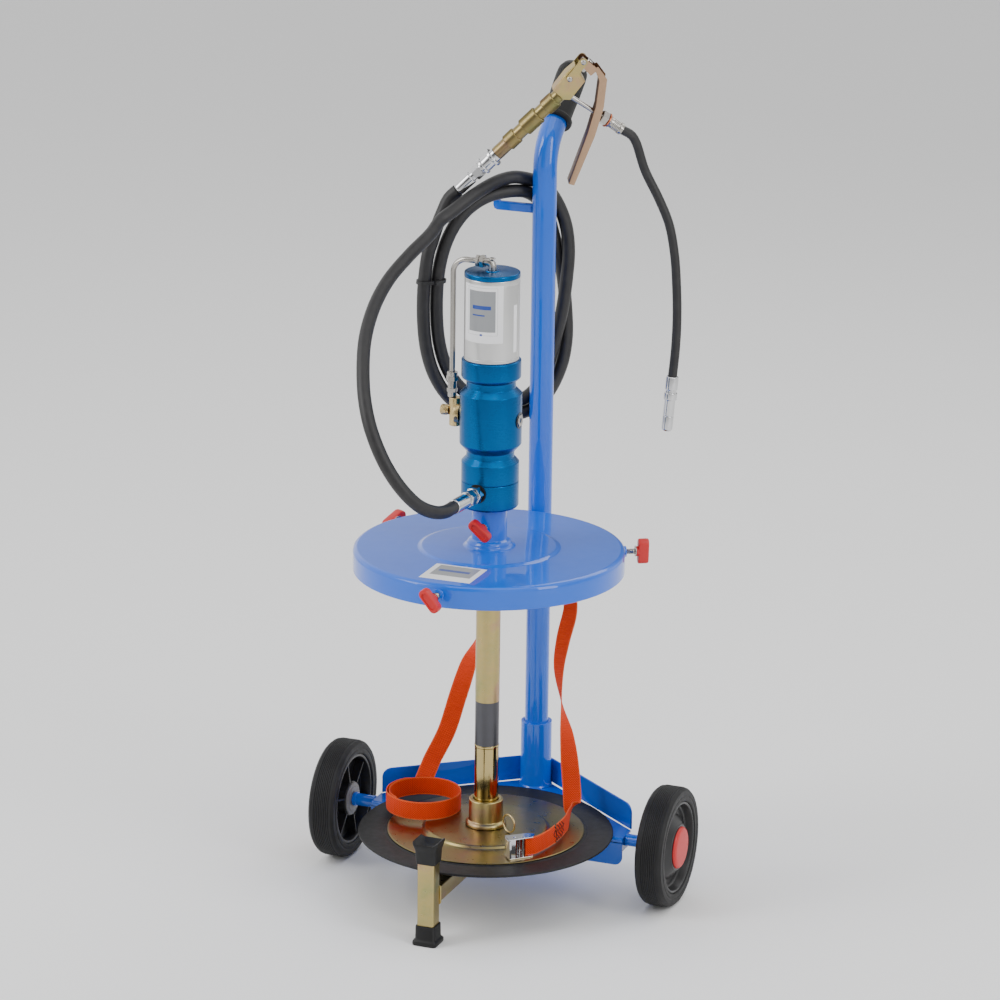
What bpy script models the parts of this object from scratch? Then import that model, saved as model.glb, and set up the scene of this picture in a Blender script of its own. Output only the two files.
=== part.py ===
"""Air-operated barrel pump for gear oil and grease, standing on a two-wheel barrel trolley.

Units are metres and +Z is up. Everything hangs from one empty on the pump's own axis, so the
numbers below are measured from that axis and from the floor: +X is the machine's right-hand
side seen from the front leg, +Y runs from the leg to the column at the back.
"""

import math

import bmesh
import bpy
from mathutils import Matrix, Vector

# ---------------------------------------------------------------- driving dimensions
PUMP_Y = -0.053  # where the pump axis stands once the machine is centred on its own box
GAP = 0.0003  # clearance between pieces that touch
FRAME_X = -0.0045  # centre plane of the trolley's column and leg, beside the pump axis

WHEEL_R = 0.0875
WHEEL_W = 0.040
WHEEL_X = 0.2543  # half the track
AXLE_Y = 0.068
AXLE_R = 0.009

PLATE_TOP = 0.0950  # top of the trolley's base plate
PLATE_T = 0.003
PLATE_FRONT = 0.050
PLATE_HALF = 0.197
APEX_Y = 0.2457
WING_SLOPE = 0.8
WING_H = 0.037

COLUMN_Y = 0.215
COLUMN_R = 0.0175
COLUMN_BEND_Z = 1.030
COLUMN_BEND_R = 0.070
HANDLE_RISE = math.radians(40)

LEG_Y = -0.209
TUBE_SIDE = 0.025
LEG_TOP = 0.142

LID_R = 0.194
LID_TOP = 0.528
LID_SKIRT = 0.033
SHEET = 0.002
RIM_SCREW_Z = 0.5135
RIM_SCREW_ANGLES = {"front": -90, "right": 30, "left": 150}
STUD_R = 0.004
COLLAR_R = 0.025

FOLLOWER_R = 0.185
FOLLOWER_PLATE_R = 0.143
RUBBER_Z = PLATE_TOP + GAP
RUBBER_T = 0.0036

TUBE_R = 0.0175  # suction tube
TUBE_BORE_R = 0.0145

PUMP_FOOT_Z = 0.590  # underside of the pump's outlet block
BODY_SEAM_Z = 0.6275
BODY_TOP_Z = 0.805
CYLINDER_R = 0.039
CYLINDER_BORE_R = 0.036
CAP_Z = 0.924

OUTLET_ANGLE = math.radians(-95)
OUTLET_Z = 0.6165
FITTING_END = 0.1145  # where the hose leaves its crimped ferrule, from the pump axis

SCREW_TURN = {"front": 40, "right": 4, "left": 62, "collar": 48}
COLLAR_SCREW_ANGLE = -86
COLLAR_SCREW_Z = 0.5640

# Stored hose: a flattened coil in an upright plane through the hook.
HOSE_R = 0.0095
COIL_CENTRE = Vector((-0.0507, 0.2093, 0.8400))
COIL_ACROSS = Vector((1, 1, 0)).normalized()
COIL_FACING = Vector((1, -1, 0)).normalized()
COIL_T = 0.020
COIL_OUTER = (0.149, 0.104, 0.186)  # half widths to the left and right, and half height
COIL_INNER = (0.108, 0.063, 0.148)
COIL_SHAPE = 2.4  # exponent of the superellipse
COIL_PARTING = math.radians(132)  # where round the coil the strand to the handset leaves it
WHIP_R = 0.0067

# Lashing strap. Its ring stands on edge on the follower plate.
STRAP_W = 0.027
STRAP_T = 0.0016
STRAP_RING = Vector((-0.1080, 0.0280, 0.1076 + STRAP_W / 2))
STRAP_RING_R = 0.0560
STRAP_EYE_Z = 0.4500  # middle of the eye behind the column that keeps the strap up
BUCKLE = Vector((0.0795, -0.0931, 0.1012))  # foot of the lever's pin
BUCKLE_TURN = math.radians(40)
BUCKLE_H = 0.0304
CHEEK_T = 0.0014

# Handset: the end of its barrel at the hose, the centre of its head, the way its trigger hangs.
GUN_TAIL = Vector((-0.1106, 0.1450, 1.0062))
GUN_HEAD = Vector((0.0498, 0.1850, 1.1720))
GUN_TRIGGER = Vector((0.580, 0.460, -0.672))
GUN_PIVOT = (0.0296, -0.0145)  # trigger pin, along and across the barrel from the head
GUN_RIVET = (-0.0017, -0.0102)
RIVET_R = 0.0028
GUN_HEAD_HALF = 0.0090
GUN_LEVER_HALF = 0.0105
GUN_OUTLET = (-0.0218, 0.0132)  # where the outlet pipe leaves the head
GUN_OUTLET_RUN = (0.0062, 0.0400)  # its direction
GUN_OUTLET_LENGTH = 0.0920

# ---------------------------------------------------------------- scene and materials
for old in list(bpy.data.objects):
    bpy.data.objects.remove(old)

MACHINE = bpy.data.objects.new("pump_axis", None)
MACHINE.location = (0, PUMP_Y, 0)
bpy.context.scene.collection.objects.link(MACHINE)


def material(name, colour, metallic, roughness):
    made = bpy.data.materials.new(name)
    made.use_nodes = True
    shader = made.node_tree.nodes["Principled BSDF"]
    shader.inputs["Base Color"].default_value = (*colour, 1)
    shader.inputs["Metallic"].default_value = metallic
    shader.inputs["Roughness"].default_value = roughness
    return made


BLUE_PAINT = material("blue_paint", (0.01, 0.14, 0.62), 0.0, 0.25)
ANODISED = material("blue_anodised", (0.01, 0.12, 0.32), 0.9, 0.3)
SATIN = material("satin_aluminium", (0.75, 0.75, 0.74), 1.0, 0.35)
STEEL = material("stainless", (0.55, 0.54, 0.52), 1.0, 0.25)
CHROME = material("chromed", (0.75, 0.75, 0.76), 1.0, 0.12)
ZINC = material("yellow_zinc", (0.42, 0.33, 0.15), 1.0, 0.35)
BRASS = material("brass", (0.62, 0.47, 0.22), 1.0, 0.3)
RUBBER = material("black_rubber", (0.02, 0.02, 0.02), 0.0, 0.6)
PLASTIC = material("black_plastic", (0.015, 0.015, 0.015), 0.0, 0.35)
GREY = material("grey_plastic", (0.16, 0.16, 0.16), 0.0, 0.5)
RED = material("red_plastic", (0.55, 0.02, 0.02), 0.0, 0.3)
ORANGE = material("orange_webbing", (0.75, 0.07, 0.01), 0.0, 0.8)


# ---------------------------------------------------------------- modelling helpers
def place(name, mesh, stuff, location=(0, 0, 0), rotation=None):
    """Links a mesh as one named piece of the machine."""
    mesh.materials.append(stuff)
    piece = bpy.data.objects.new(name, mesh)
    piece.parent = MACHINE
    piece.location = location
    if rotation is not None:
        piece.rotation_euler = rotation.to_euler()
    bpy.context.scene.collection.objects.link(piece)
    return piece


def finished(bm, name, smooth_below=35):
    bmesh.ops.remove_doubles(bm, verts=bm.verts, dist=1e-6)
    bmesh.ops.recalc_face_normals(bm, faces=bm.faces)
    mesh = bpy.data.meshes.new(name)
    bm.to_mesh(mesh)
    bm.free()
    mesh.shade_smooth()
    mesh.set_sharp_from_angle(angle=math.radians(smooth_below))
    return mesh


def pointing(direction):
    """The rotation that turns +Z to a direction."""
    return Vector(direction).to_track_quat("Z", "Y")


def turned(profile, steps):
    """A mesh of a closed (radius, height) outline turned about +Z."""
    bm = bmesh.new()
    verts = [bm.verts.new((r, 0, z)) for r, z in profile]
    edges = [
        bm.edges.new((verts[i - 1], verts[i]))
        for i in range(len(verts))
        if profile[i - 1][0] > 0 or profile[i][0] > 0
    ]
    bmesh.ops.spin(
        bm, geom=verts + edges, cent=(0, 0, 0), axis=(0, 0, 1), angle=2 * math.pi,
        steps=steps, use_merge=True,
    )
    return bm


def around(radius, steps):
    """Corner radius of a faceted bore whose flats stay clear of a shaft of this radius."""
    return radius / math.cos(math.pi / steps)


def lathe(name, stuff, profile, location=(0, 0, 0), direction=(0, 0, 1), steps=32):
    return place(name, finished(turned(profile, steps), name), stuff, location, pointing(direction))


def skin(loops, ring=False):
    """A mesh through loops of points: capped at both ends, or joined end to start."""
    bm = bmesh.new()
    rows = [[bm.verts.new(point) for point in loop] for loop in loops]
    pairs = list(zip(rows, rows[1:]))
    if ring:
        pairs.append((rows[-1], rows[0]))
    for low, high in pairs:
        for i in range(len(low)):
            bm.faces.new((low[i - 1], low[i], high[i], high[i - 1]))
    if not ring:
        bm.faces.new(rows[0])
        bm.faces.new(rows[-1])
    return bm


def prism(name, stuff, outline, depth, location=(0, 0, 0), rotation=None):
    """A flat outline in XY, extruded up by depth."""
    loops = [[(x, y, z) for x, y in outline] for z in (0, depth)]
    return place(name, finished(skin(loops), name), stuff, location, rotation)


def block(name, stuff, low, high):
    outline = [(low[0], low[1]), (high[0], low[1]), (high[0], high[1]), (low[0], high[1])]
    return prism(name, stuff, outline, high[2] - low[2], (0, 0, low[2]))


def frames_along(points):
    """Each point of a path with its tangent and two normals, carried along without twist."""
    points = [Vector(p) for p in points]
    across = None
    out = []
    for i, point in enumerate(points):
        tangent = (points[min(i + 1, len(points) - 1)] - points[max(i - 1, 0)]).normalized()
        if across is None:
            across = tangent.orthogonal()
        across = (across - across.dot(tangent) * tangent).normalized()
        out.append((point, tangent, across, tangent.cross(across)))
    return out


def ring_points(centre, first, second, radius, count):
    angles = [2 * math.pi * i / count for i in range(count)]
    return [centre + radius * (math.cos(a) * first + math.sin(a) * second) for a in angles]


def pipe(name, stuff, path, outer, inner, sides=20):
    """An open-ended tube along a path."""
    frames = frames_along(path)
    loops = [ring_points(p, a, b, outer, sides) for p, _, a, b in frames]
    loops += [ring_points(p, a, b, inner, sides) for p, _, a, b in reversed(frames)]
    return place(name, finished(skin(loops, ring=True), name), stuff)


def smooth_path(route, spacing):
    """Evenly spaced points on a centripetal Catmull-Rom curve through the route's points."""
    route = [Vector(p) for p in route]
    ends = [2 * route[0] - route[1]] + route + [2 * route[-1] - route[-2]]
    fine = []
    for p0, p1, p2, p3 in zip(ends, ends[1:], ends[2:], ends[3:]):
        t1 = (p1 - p0).length ** 0.5
        t2 = t1 + (p2 - p1).length ** 0.5
        t3 = t2 + (p3 - p2).length ** 0.5
        for step in range(16):
            t = t1 + (t2 - t1) * step / 16
            a1 = p0.lerp(p1, t / t1)
            a2 = p1.lerp(p2, (t - t1) / (t2 - t1))
            a3 = p2.lerp(p3, (t - t2) / (t3 - t2))
            b1 = a1.lerp(a2, t / t2)
            b2 = a2.lerp(a3, (t - t1) / (t3 - t1))
            fine.append(b1.lerp(b2, (t - t1) / (t2 - t1)))
    fine.append(route[-1])
    total = sum((b - a).length for a, b in zip(fine, fine[1:]))
    count = max(2, round(total / spacing))
    out = [fine[0]]
    run = 0.0
    for a, b in zip(fine, fine[1:]):
        length = (b - a).length
        while run + length >= len(out) * total / count - 1e-9 and len(out) < count:
            out.append(a.lerp(b, (len(out) * total / count - run) / length))
        run += length
    out.append(fine[-1])
    return out


def hose(name, stuff, route, radius, spacing):
    """A solid hose: a round curve with filled ends on points read from the smooth route."""
    curve = bpy.data.curves.new(name, "CURVE")
    curve.dimensions = "3D"
    curve.bevel_depth = radius
    curve.bevel_resolution = 2
    curve.use_fill_caps = True
    points = smooth_path(route, spacing)
    spline = curve.splines.new("POLY")
    spline.points.add(len(points) - 1)
    for target, point in zip(spline.points, points):
        target.co = (*point, 1)
    curve.materials.append(stuff)
    piece = bpy.data.objects.new(name, curve)
    piece.parent = MACHINE
    bpy.context.scene.collection.objects.link(piece)
    return piece


def boolean(piece, other, operation):
    other.hide_render = True
    other.display_type = "WIRE"
    change = piece.modifiers.new(f"{operation.lower()} {other.name}", "BOOLEAN")
    change.operation = operation
    change.object = other
    change.solver = "EXACT"


def drill(piece, start, direction, radius, length):
    """Cuts a round hole."""
    profile = [(0, length), (radius, length), (radius, 0), (0, 0)]
    bit = lathe(piece.name + "_drill", STEEL, profile, start, direction, 12)
    boolean(piece, bit, "DIFFERENCE")
    return bit


def weld(piece, other):
    boolean(piece, other, "UNION")


def corner(centre, radius, start, end, count=4):
    """Points on an arc, from one angle in degrees to another."""
    angles = [math.radians(start + (end - start) * i / count) for i in range(count + 1)]
    return [(centre[0] + radius * math.cos(a), centre[1] + radius * math.sin(a)) for a in angles]


def square(half, z, turn=45, lift=0.0):
    """A square loop about the leg's axis; lift raises its left and right corners."""
    points = []
    for i in range(4):
        angle = math.radians(90 * i + turn + 45)
        reach = half * math.sqrt(2)
        up = lift if abs(math.cos(angle)) > 0.7 else 0.0
        points.append((reach * math.cos(angle), reach * math.sin(angle), z + up))
    return points


# ---------------------------------------------------------------- trolley
def base_plate():
    """Level plate that carries the barrel, with its front edge folded down."""
    wing_end = APEX_Y - WING_SLOPE * PLATE_HALF - 0.001
    outline = [
        (-PLATE_HALF, PLATE_FRONT), (PLATE_HALF, PLATE_FRONT), (PLATE_HALF, wing_end),
        (0.016, 0.230), (-0.016, 0.230), (-PLATE_HALF, wing_end),
    ]
    plate = prism("base_plate", BLUE_PAINT, outline, PLATE_T, (FRAME_X, 0, PLATE_TOP - PLATE_T))
    drop = 0.042
    reach = PLATE_HALF - 0.0002
    flange = [(-reach, drop - 0.0015), (-reach, 0.012)]
    flange += corner((-reach + 0.012, 0.012), 0.012, 180, 270)
    flange += corner((reach - 0.012, 0.012), 0.012, 270, 360)
    flange += [(reach, drop - 0.0015)]
    front = prism(
        "base_plate_front", BLUE_PAINT, flange, PLATE_T,
        (FRAME_X, PLATE_FRONT + PLATE_T + 0.0002, PLATE_TOP - drop),
        Matrix.Rotation(math.pi / 2, 3, "X"),
    )
    weld(plate, front)
    for side in (-1, 1):
        outer = FRAME_X + side * (PLATE_HALF - 0.0004)
        inner = FRAME_X + side * (PLATE_HALF - 0.006)
        cheek = block(
            f"base_plate_cheek_{side}", BLUE_PAINT,
            (min(outer, inner), PLATE_FRONT + 0.0015, WHEEL_R - 0.014),
            (max(outer, inner), AXLE_Y + 0.014, PLATE_TOP - 0.0012),
        )
        weld(plate, cheek)
    return plate


def rear_guard():
    """V of upright sheet that the barrel backs on to, standing on the base plate."""
    length = math.hypot(PLATE_HALF, WING_SLOPE * PLATE_HALF)
    tilt = math.atan(WING_SLOPE)
    outline = [(-0.0015, 0), (length, 0)]
    outline += corner((length - 0.014, WING_H - 0.014), 0.014, 0, 90)
    outline += [(-0.0015, WING_H)]
    wings = []
    for side in (-1, 1):
        mirrored = outline if side > 0 else [(-u, v) for u, v in reversed(outline)]
        turn = Matrix.Rotation(-side * tilt, 3, "Z") @ Matrix.Rotation(math.pi / 2, 3, "X")
        start = (FRAME_X, APEX_Y + PLATE_T * math.hypot(1, WING_SLOPE), PLATE_TOP + GAP)
        wings.append(prism(f"rear_guard_{side}", BLUE_PAINT, mirrored, PLATE_T, start, turn))
    guard = wings[1]
    guard.name = "rear_guard"
    weld(guard, wings[0])
    return guard


def rod_sections(outline):
    """Centre and two cross directions at each (y, z) point of a rod behind the column."""
    points = [Vector((FRAME_X, y, STRAP_EYE_Z + z)) for y, z in outline]
    return [(p, a, b) for p, _, a, b in frames_along(points)]


def column():
    """Bent handle tube, its rubber grip, the socket it stands in and the hose hook."""
    socket = [(0.023, 0.101), (0.023, 0), (COLUMN_R + GAP, 0), (COLUMN_R + GAP, 0.101)]
    lathe("column_socket", BLUE_PAINT, socket, (FRAME_X, COLUMN_Y, PLATE_TOP + GAP), steps=24)

    bend = math.pi / 2 - HANDLE_RISE
    path = [(FRAME_X, COLUMN_Y, PLATE_TOP + 2 * GAP), (FRAME_X, COLUMN_Y, COLUMN_BEND_Z)]
    for i in range(1, 9):
        a = bend * i / 8
        y = COLUMN_Y + COLUMN_BEND_R * (1 - math.cos(a))
        path.append((FRAME_X, y, COLUMN_BEND_Z + COLUMN_BEND_R * math.sin(a)))
    along = Vector((0, math.cos(HANDLE_RISE), math.sin(HANDLE_RISE)))
    end_of_bend = Vector(path[-1])
    path.append(end_of_bend + along * 0.100)
    tube = pipe("column", BLUE_PAINT, path, COLUMN_R, COLUMN_R - SHEET, 16)
    reach = STRAP_W / 2 + 0.0055
    wall, back = COLUMN_Y + COLUMN_R - 0.0012, COLUMN_Y + COLUMN_R + 0.0100
    eye = [(wall, reach), (back - 0.003, reach), (back, reach - 0.003)]
    eye += [(y, -z) for y, z in reversed(eye)]
    loops = [ring_points(*section, 0.0025, 8) for section in rod_sections(eye)]
    weld(tube, place("strap_eye", finished(skin(loops), "strap_eye"), BLUE_PAINT))

    grip_length = 0.108
    inner = COLUMN_R + GAP
    profile = [
        (0, grip_length), (0.010, grip_length - 0.0012), (0.0175, grip_length - 0.006),
        (0.0215, grip_length - 0.014), (0.0225, grip_length - 0.024), (0.0210, 0.008),
        (0.0245, 0.0065), (0.0245, 0), (inner, 0), (inner, 0.0855), (0, 0.0855),
    ]
    lathe("handle_grip", RUBBER, profile, end_of_bend + along * 0.0155, along, 20)

    near = -COLUMN_R - GAP
    hook = [
        (near, -0.0125), (near, 0), (-0.0695, 0), (-0.0705, 0.030), (-0.0735, 0.0375),
        (-0.0770, 0.0365), (-0.0775, -0.006), (-0.0715, -0.0125),
    ]
    prism(
        "hose_hook", BLUE_PAINT, hook, 0.010, (FRAME_X, COLUMN_Y + 0.005, 0.9795),
        Matrix.Rotation(math.pi / 2, 3, "X"),
    )


def front_leg():
    """Square-tube leg and its beam, with a rubber foot below and a rubber saddle on top."""
    half = TUBE_SIDE / 2
    wall = half - 0.0025
    post = [square(wall, 0.006), square(half, 0.006), square(half, LEG_TOP), square(wall, LEG_TOP)]
    bm = skin(post, ring=True)
    leg = place("front_leg", finished(bm, "front_leg"), ZINC, (FRAME_X, LEG_Y, 0))
    low = 0.0575
    beam_end = PLATE_FRONT - 0.0008
    beam = block(
        "front_leg_beam", ZINC, (FRAME_X - half, LEG_Y + 0.006, low),
        (FRAME_X + half, beam_end, low + TUBE_SIDE),
    )
    weld(leg, beam)

    pocket = half + GAP
    foot = [
        square(0.0165, 0), square(0.0180, 0.0015), square(0.0180, 0.0055), square(0.0162, 0.0075),
        square(0.0145, 0.029), square(pocket, 0.029), square(pocket, 0.0057),
    ]
    place("leg_foot", finished(skin(foot), "leg_foot", 20), RUBBER, (FRAME_X, LEG_Y, 0))
    top = LEG_TOP + GAP
    saddle = [
        square(pocket, top), square(pocket, top - 0.020), square(0.0145, top - 0.020),
        square(0.0156, top + 0.001), square(0.0185, top + 0.0050, lift=0.006),
        square(0.0185, top + 0.0070, lift=0.007), square(0.0130, top + 0.0040, lift=0.003),
    ]
    place("leg_saddle", finished(skin(saddle), "leg_saddle", 20), RUBBER, (FRAME_X, LEG_Y, 0))


def wheel(side, word):
    """One wheel: ribbed tyre, dished hub, bearing bush and red cap, spinning about X."""
    out = (side, 0, 0)
    hub_x = Vector((side * WHEEL_X, AXLE_Y, WHEEL_R))
    half = WHEEL_W / 2
    tyre = [
        (0.0865, -half + 0.004), (0.0830, -half), (0.0690, -half), (0.0675, -half + 0.0015),
        (0.0675, half - 0.0015), (0.0690, half), (0.0830, half), (0.0865, half - 0.004),
        (WHEEL_R, half - 0.007), (WHEEL_R, -half + 0.007),
    ]
    lathe(f"tyre_{word}", RUBBER, tyre, hub_x, out, 24)
    rim = 0.0675 - GAP
    bore = 0.0150
    hub = [
        (rim, -half + 0.002), (rim, half - 0.002), (0.0630, half - 0.002), (0.0600, 0.006),
        (0.0480, 0.007), (0.0325, half - 0.001), (bore, half - 0.001), (bore, -0.014),
        (0.0260, -0.014), (0.0260, -0.002), (0.0610, -0.002), (0.0630, -half + 0.002),
    ]
    lathe(f"hub_{word}", PLASTIC, hub, hub_x, out, 24)
    steps = 16
    running = around(AXLE_R + 0.00005, steps)
    bush = [
        (bore - GAP, half - 0.004), (running, half - 0.004), (running, -0.0180), (0.0245, -0.0180),
        (0.0245, -0.0140 - GAP), (bore - GAP, -0.0140 - GAP),
    ]
    lathe(f"bush_{word}", GREY, bush, hub_x, out, steps)
    face = half - 0.001 + GAP
    cap = [
        (0, face + 0.0050), (0.0270, face + 0.0050), (0.0300, face + 0.0035), (0.0308, face),
        (0, face),
    ]
    lathe(f"wheel_cap_{word}", RED, cap, hub_x, out, 32)
    inner = WHEEL_X - side * FRAME_X - PLATE_HALF - GAP
    stub = [
        (0, half - 0.0045), (AXLE_R, half - 0.0045), (AXLE_R, -0.0185), (0.0105, -0.0185),
        (0.0105, -0.0235), (AXLE_R, -0.0235), (AXLE_R, -inner), (0, -inner),
    ]
    lathe(f"axle_{word}", BLUE_PAINT, stub, hub_x, out, steps)


# ---------------------------------------------------------------- barrel lid
def lid():
    """Dished sheet lid with its collar, clamped by three wing screws and a collar screw."""
    bottom = LID_TOP - LID_SKIRT
    profile = [
        (COLLAR_R, 0.5885), (COLLAR_R, 0.5410), (0.0290, 0.5340), (0.0350, 0.5305),
        (0.0950, 0.5305), (0.1010, LID_TOP), (0.1880, LID_TOP), (0.1915, LID_TOP - 0.0012),
        (LID_R, LID_TOP - 0.0050), (LID_R, bottom), (LID_R - SHEET, bottom),
        (LID_R - SHEET, LID_TOP - 0.0050), (0.1880, LID_TOP - SHEET), (0.1005, LID_TOP - SHEET),
        (0.0945, 0.5280), (TUBE_R + 0.0006, 0.5280), (TUBE_R + 0.0006, 0.5885),
    ]
    shell = lathe("drum_lid", BLUE_PAINT, profile, steps=36)
    for word, degrees in RIM_SCREW_ANGLES.items():
        a = math.radians(degrees)
        out = Vector((math.cos(a), math.sin(a), 0))
        boss = [(0.0080, 0.0045), (0.0080, 0), (0, 0), (0, 0.0045)]
        level = Vector((0, 0, RIM_SCREW_Z))
        weld(shell, lathe(f"boss_{word}", BLUE_PAINT, boss, out * (LID_R - 0.0012) + level, out, 16))
        drill(shell, out * 0.180 + level, out, STUD_R + GAP, 0.030)
        wing_screw(f"rim_screw_{word}", out * 0.1750 + level, out, 0.0375, SCREW_TURN[word])
    a = math.radians(COLLAR_SCREW_ANGLE)
    out = Vector((math.cos(a), math.sin(a), 0))
    level = Vector((0, 0, COLLAR_SCREW_Z))
    drill(shell, out * 0.010 + level, out, STUD_R + GAP, 0.040)
    wing_screw("collar_screw", out * (TUBE_R + 2 * GAP) + level, out, 0.0170, SCREW_TURN["collar"])


def wing_screw(name, tip, out, stud_length, turn):
    """Hand screw: a stud under an oblong moulded knob, its tip at a point and its axis outward."""
    stud = [(0, stud_length + 0.006), (STUD_R, stud_length + 0.006), (STUD_R, 0), (0, 0)]
    screw = lathe(name, RED, stud, tip, out, 16)
    neck = [
        (0, stud_length + 0.004), (0.0072, stud_length + 0.004), (0.0072, stud_length), (0, stud_length),
    ]
    weld(screw, lathe(name + "_neck", RED, neck, tip, out, 16))
    outline = corner((0, 0.0115), 0.0075, 0, 180, 6) + corner((0, -0.0115), 0.0075, 180, 360, 6)
    facing = pointing(out).to_matrix() @ Matrix.Rotation(math.radians(turn), 3, "Z")
    knob = prism(name + "_knob", RED, outline, 0.0150, tip + out * (stud_length + 0.003), facing)
    weld(screw, knob)


# ---------------------------------------------------------------- pump
def pump():
    cap = [
        (0, 0.0085), (0.0095, 0.0085), (0.0100, 0.0072), (0.0385, 0.0070), (0.0395, 0.0060),
        (0.0395, 0), (0, 0),
    ]
    cap_piece = lathe("pump_cap", ANODISED, cap, (0, 0, CAP_Z), steps=32)
    drill(cap_piece, (0, 0, CAP_Z - 0.002), (0, 0, 1), 0.0062, 0.020)
    wall = [
        (CYLINDER_R, CAP_Z - GAP), (CYLINDER_R, BODY_TOP_Z + GAP),
        (CYLINDER_BORE_R, BODY_TOP_Z + GAP), (CYLINDER_BORE_R, CAP_Z - GAP),
    ]
    lathe("air_cylinder", SATIN, wall, steps=32)
    rod_bore = 0.0065
    motor = [
        (0.0412, BODY_TOP_Z), (0.0422, BODY_TOP_Z - 0.001), (0.0422, 0.7795), (0.0410, 0.7780),
        (0.0350, 0.7735), (0.0350, 0.7640), (0.0440, 0.7555), (0.0440, 0.6825), (0.0430, 0.6810),
        (0.0340, 0.6715), (0.0340, 0.6630), (0.0410, 0.6555), (0.0410, BODY_SEAM_Z + GAP),
        (rod_bore, BODY_SEAM_Z + GAP), (rod_bore, BODY_TOP_Z),
    ]
    body = lathe("air_motor_body", ANODISED, motor, steps=32)
    drill(body, (0.0300, 0, 0.719), (1, 0, 0), 0.0110, 0.030)
    block_profile = [
        (0.0410, BODY_SEAM_Z), (0.0410, 0.5920), (0.0390, PUMP_FOOT_Z),
        (0.0130, PUMP_FOOT_Z), (0.0130, 0.6100), (rod_bore, 0.6160), (rod_bore, BODY_SEAM_Z),
    ]
    block_piece = lathe("outlet_block", ANODISED, block_profile, steps=32)
    out = Vector((math.cos(OUTLET_ANGLE), math.sin(OUTLET_ANGLE), 0))
    level = Vector((0, 0, OUTLET_Z))
    drill(block_piece, out * 0.022 + level, out, 0.0083, 0.030)
    union = [
        (0, FITTING_END), (0.0090, FITTING_END), (0.0106, FITTING_END - 0.002),
        (0.0106, 0.0790), (0.0098, 0.0775), (0.0072, 0.0770), (0.0072, 0.0740),
        (0.0085, 0.0740), (0.0085, 0.0415), (0.0080, 0.0412), (0.0080, 0.0235), (0, 0.0235),
    ]
    fitting = lathe("outlet_union", CHROME, union, level, out, 16)
    for name, near, far, radius in (("adapter", 0.0420, 0.0560, 0.0128), ("nut", 0.0600, 0.0745, 0.0122)):
        hexagon = [
            (0, far), (radius * 0.88, far), (radius, far - 0.0012), (radius, near + 0.0012),
            (radius * 0.88, near), (0, near),
        ]
        weld(fitting, lathe(f"outlet_{name}", CHROME, hexagon, level, out, 6))

    hex_plug = [
        (0.0085, 0.0035), (0.0085, -0.0080), (0, -0.0080), (0, 0.0012), (0.0040, 0.0012),
        (0.0040, 0.0035),
    ]
    lathe("body_plug", STEEL, hex_plug, (0.0420, 0, 0.719), (1, 0, 0), 6)

    piston = [
        (0, 0.870), (0.0330, 0.870), (0.0352, 0.8685), (0.0352, 0.8655), (0.0325, 0.8655),
        (0.0325, 0.8595), (0.0352, 0.8595), (0.0352, 0.8565), (0.0330, 0.8550),
        (0.0058, 0.8550), (0.0058, 0.8520), (0, 0.8520),
    ]
    lathe("air_piston", SATIN, piston, steps=16)
    seal = [
        (0.0352, 0.8650), (0.0357, 0.8640), (0.0357, 0.8610), (0.0352, 0.8600), (0.0329, 0.8600),
        (0.0329, 0.8650),
    ]
    lathe("piston_seal", RUBBER, seal, steps=16)
    rod = [
        (0, 0.8517), (0.0058, 0.8517), (0.0058, 0.2100), (0.0135, 0.2080), (0.0135, 0.1700),
        (0, 0.1700),
    ]
    lathe("pump_rod", STEEL, rod, steps=20)

    tube_top = PUMP_FOOT_Z - GAP
    tube_foot = PLATE_TOP + GAP
    tube = [(TUBE_R, tube_top), (TUBE_R, tube_foot), (TUBE_BORE_R, tube_foot), (TUBE_BORE_R, tube_top)]
    lathe("suction_tube", ZINC, tube, steps=24)
    seat = [
        (TUBE_BORE_R - GAP, 0.1120), (TUBE_BORE_R - GAP, tube_foot), (0.0055, tube_foot),
        (0.0055, 0.1060), (0.0085, 0.1120),
    ]
    lathe("foot_valve_seat", STEEL, seat, steps=16)
    ball = [(0.0080 * math.sin(a), -0.0080 * math.cos(a)) for a in [math.pi * i / 6 for i in range(7)]]
    lathe("foot_valve_ball", STEEL, ball, (0, 0, 0.1168), steps=12)


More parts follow.
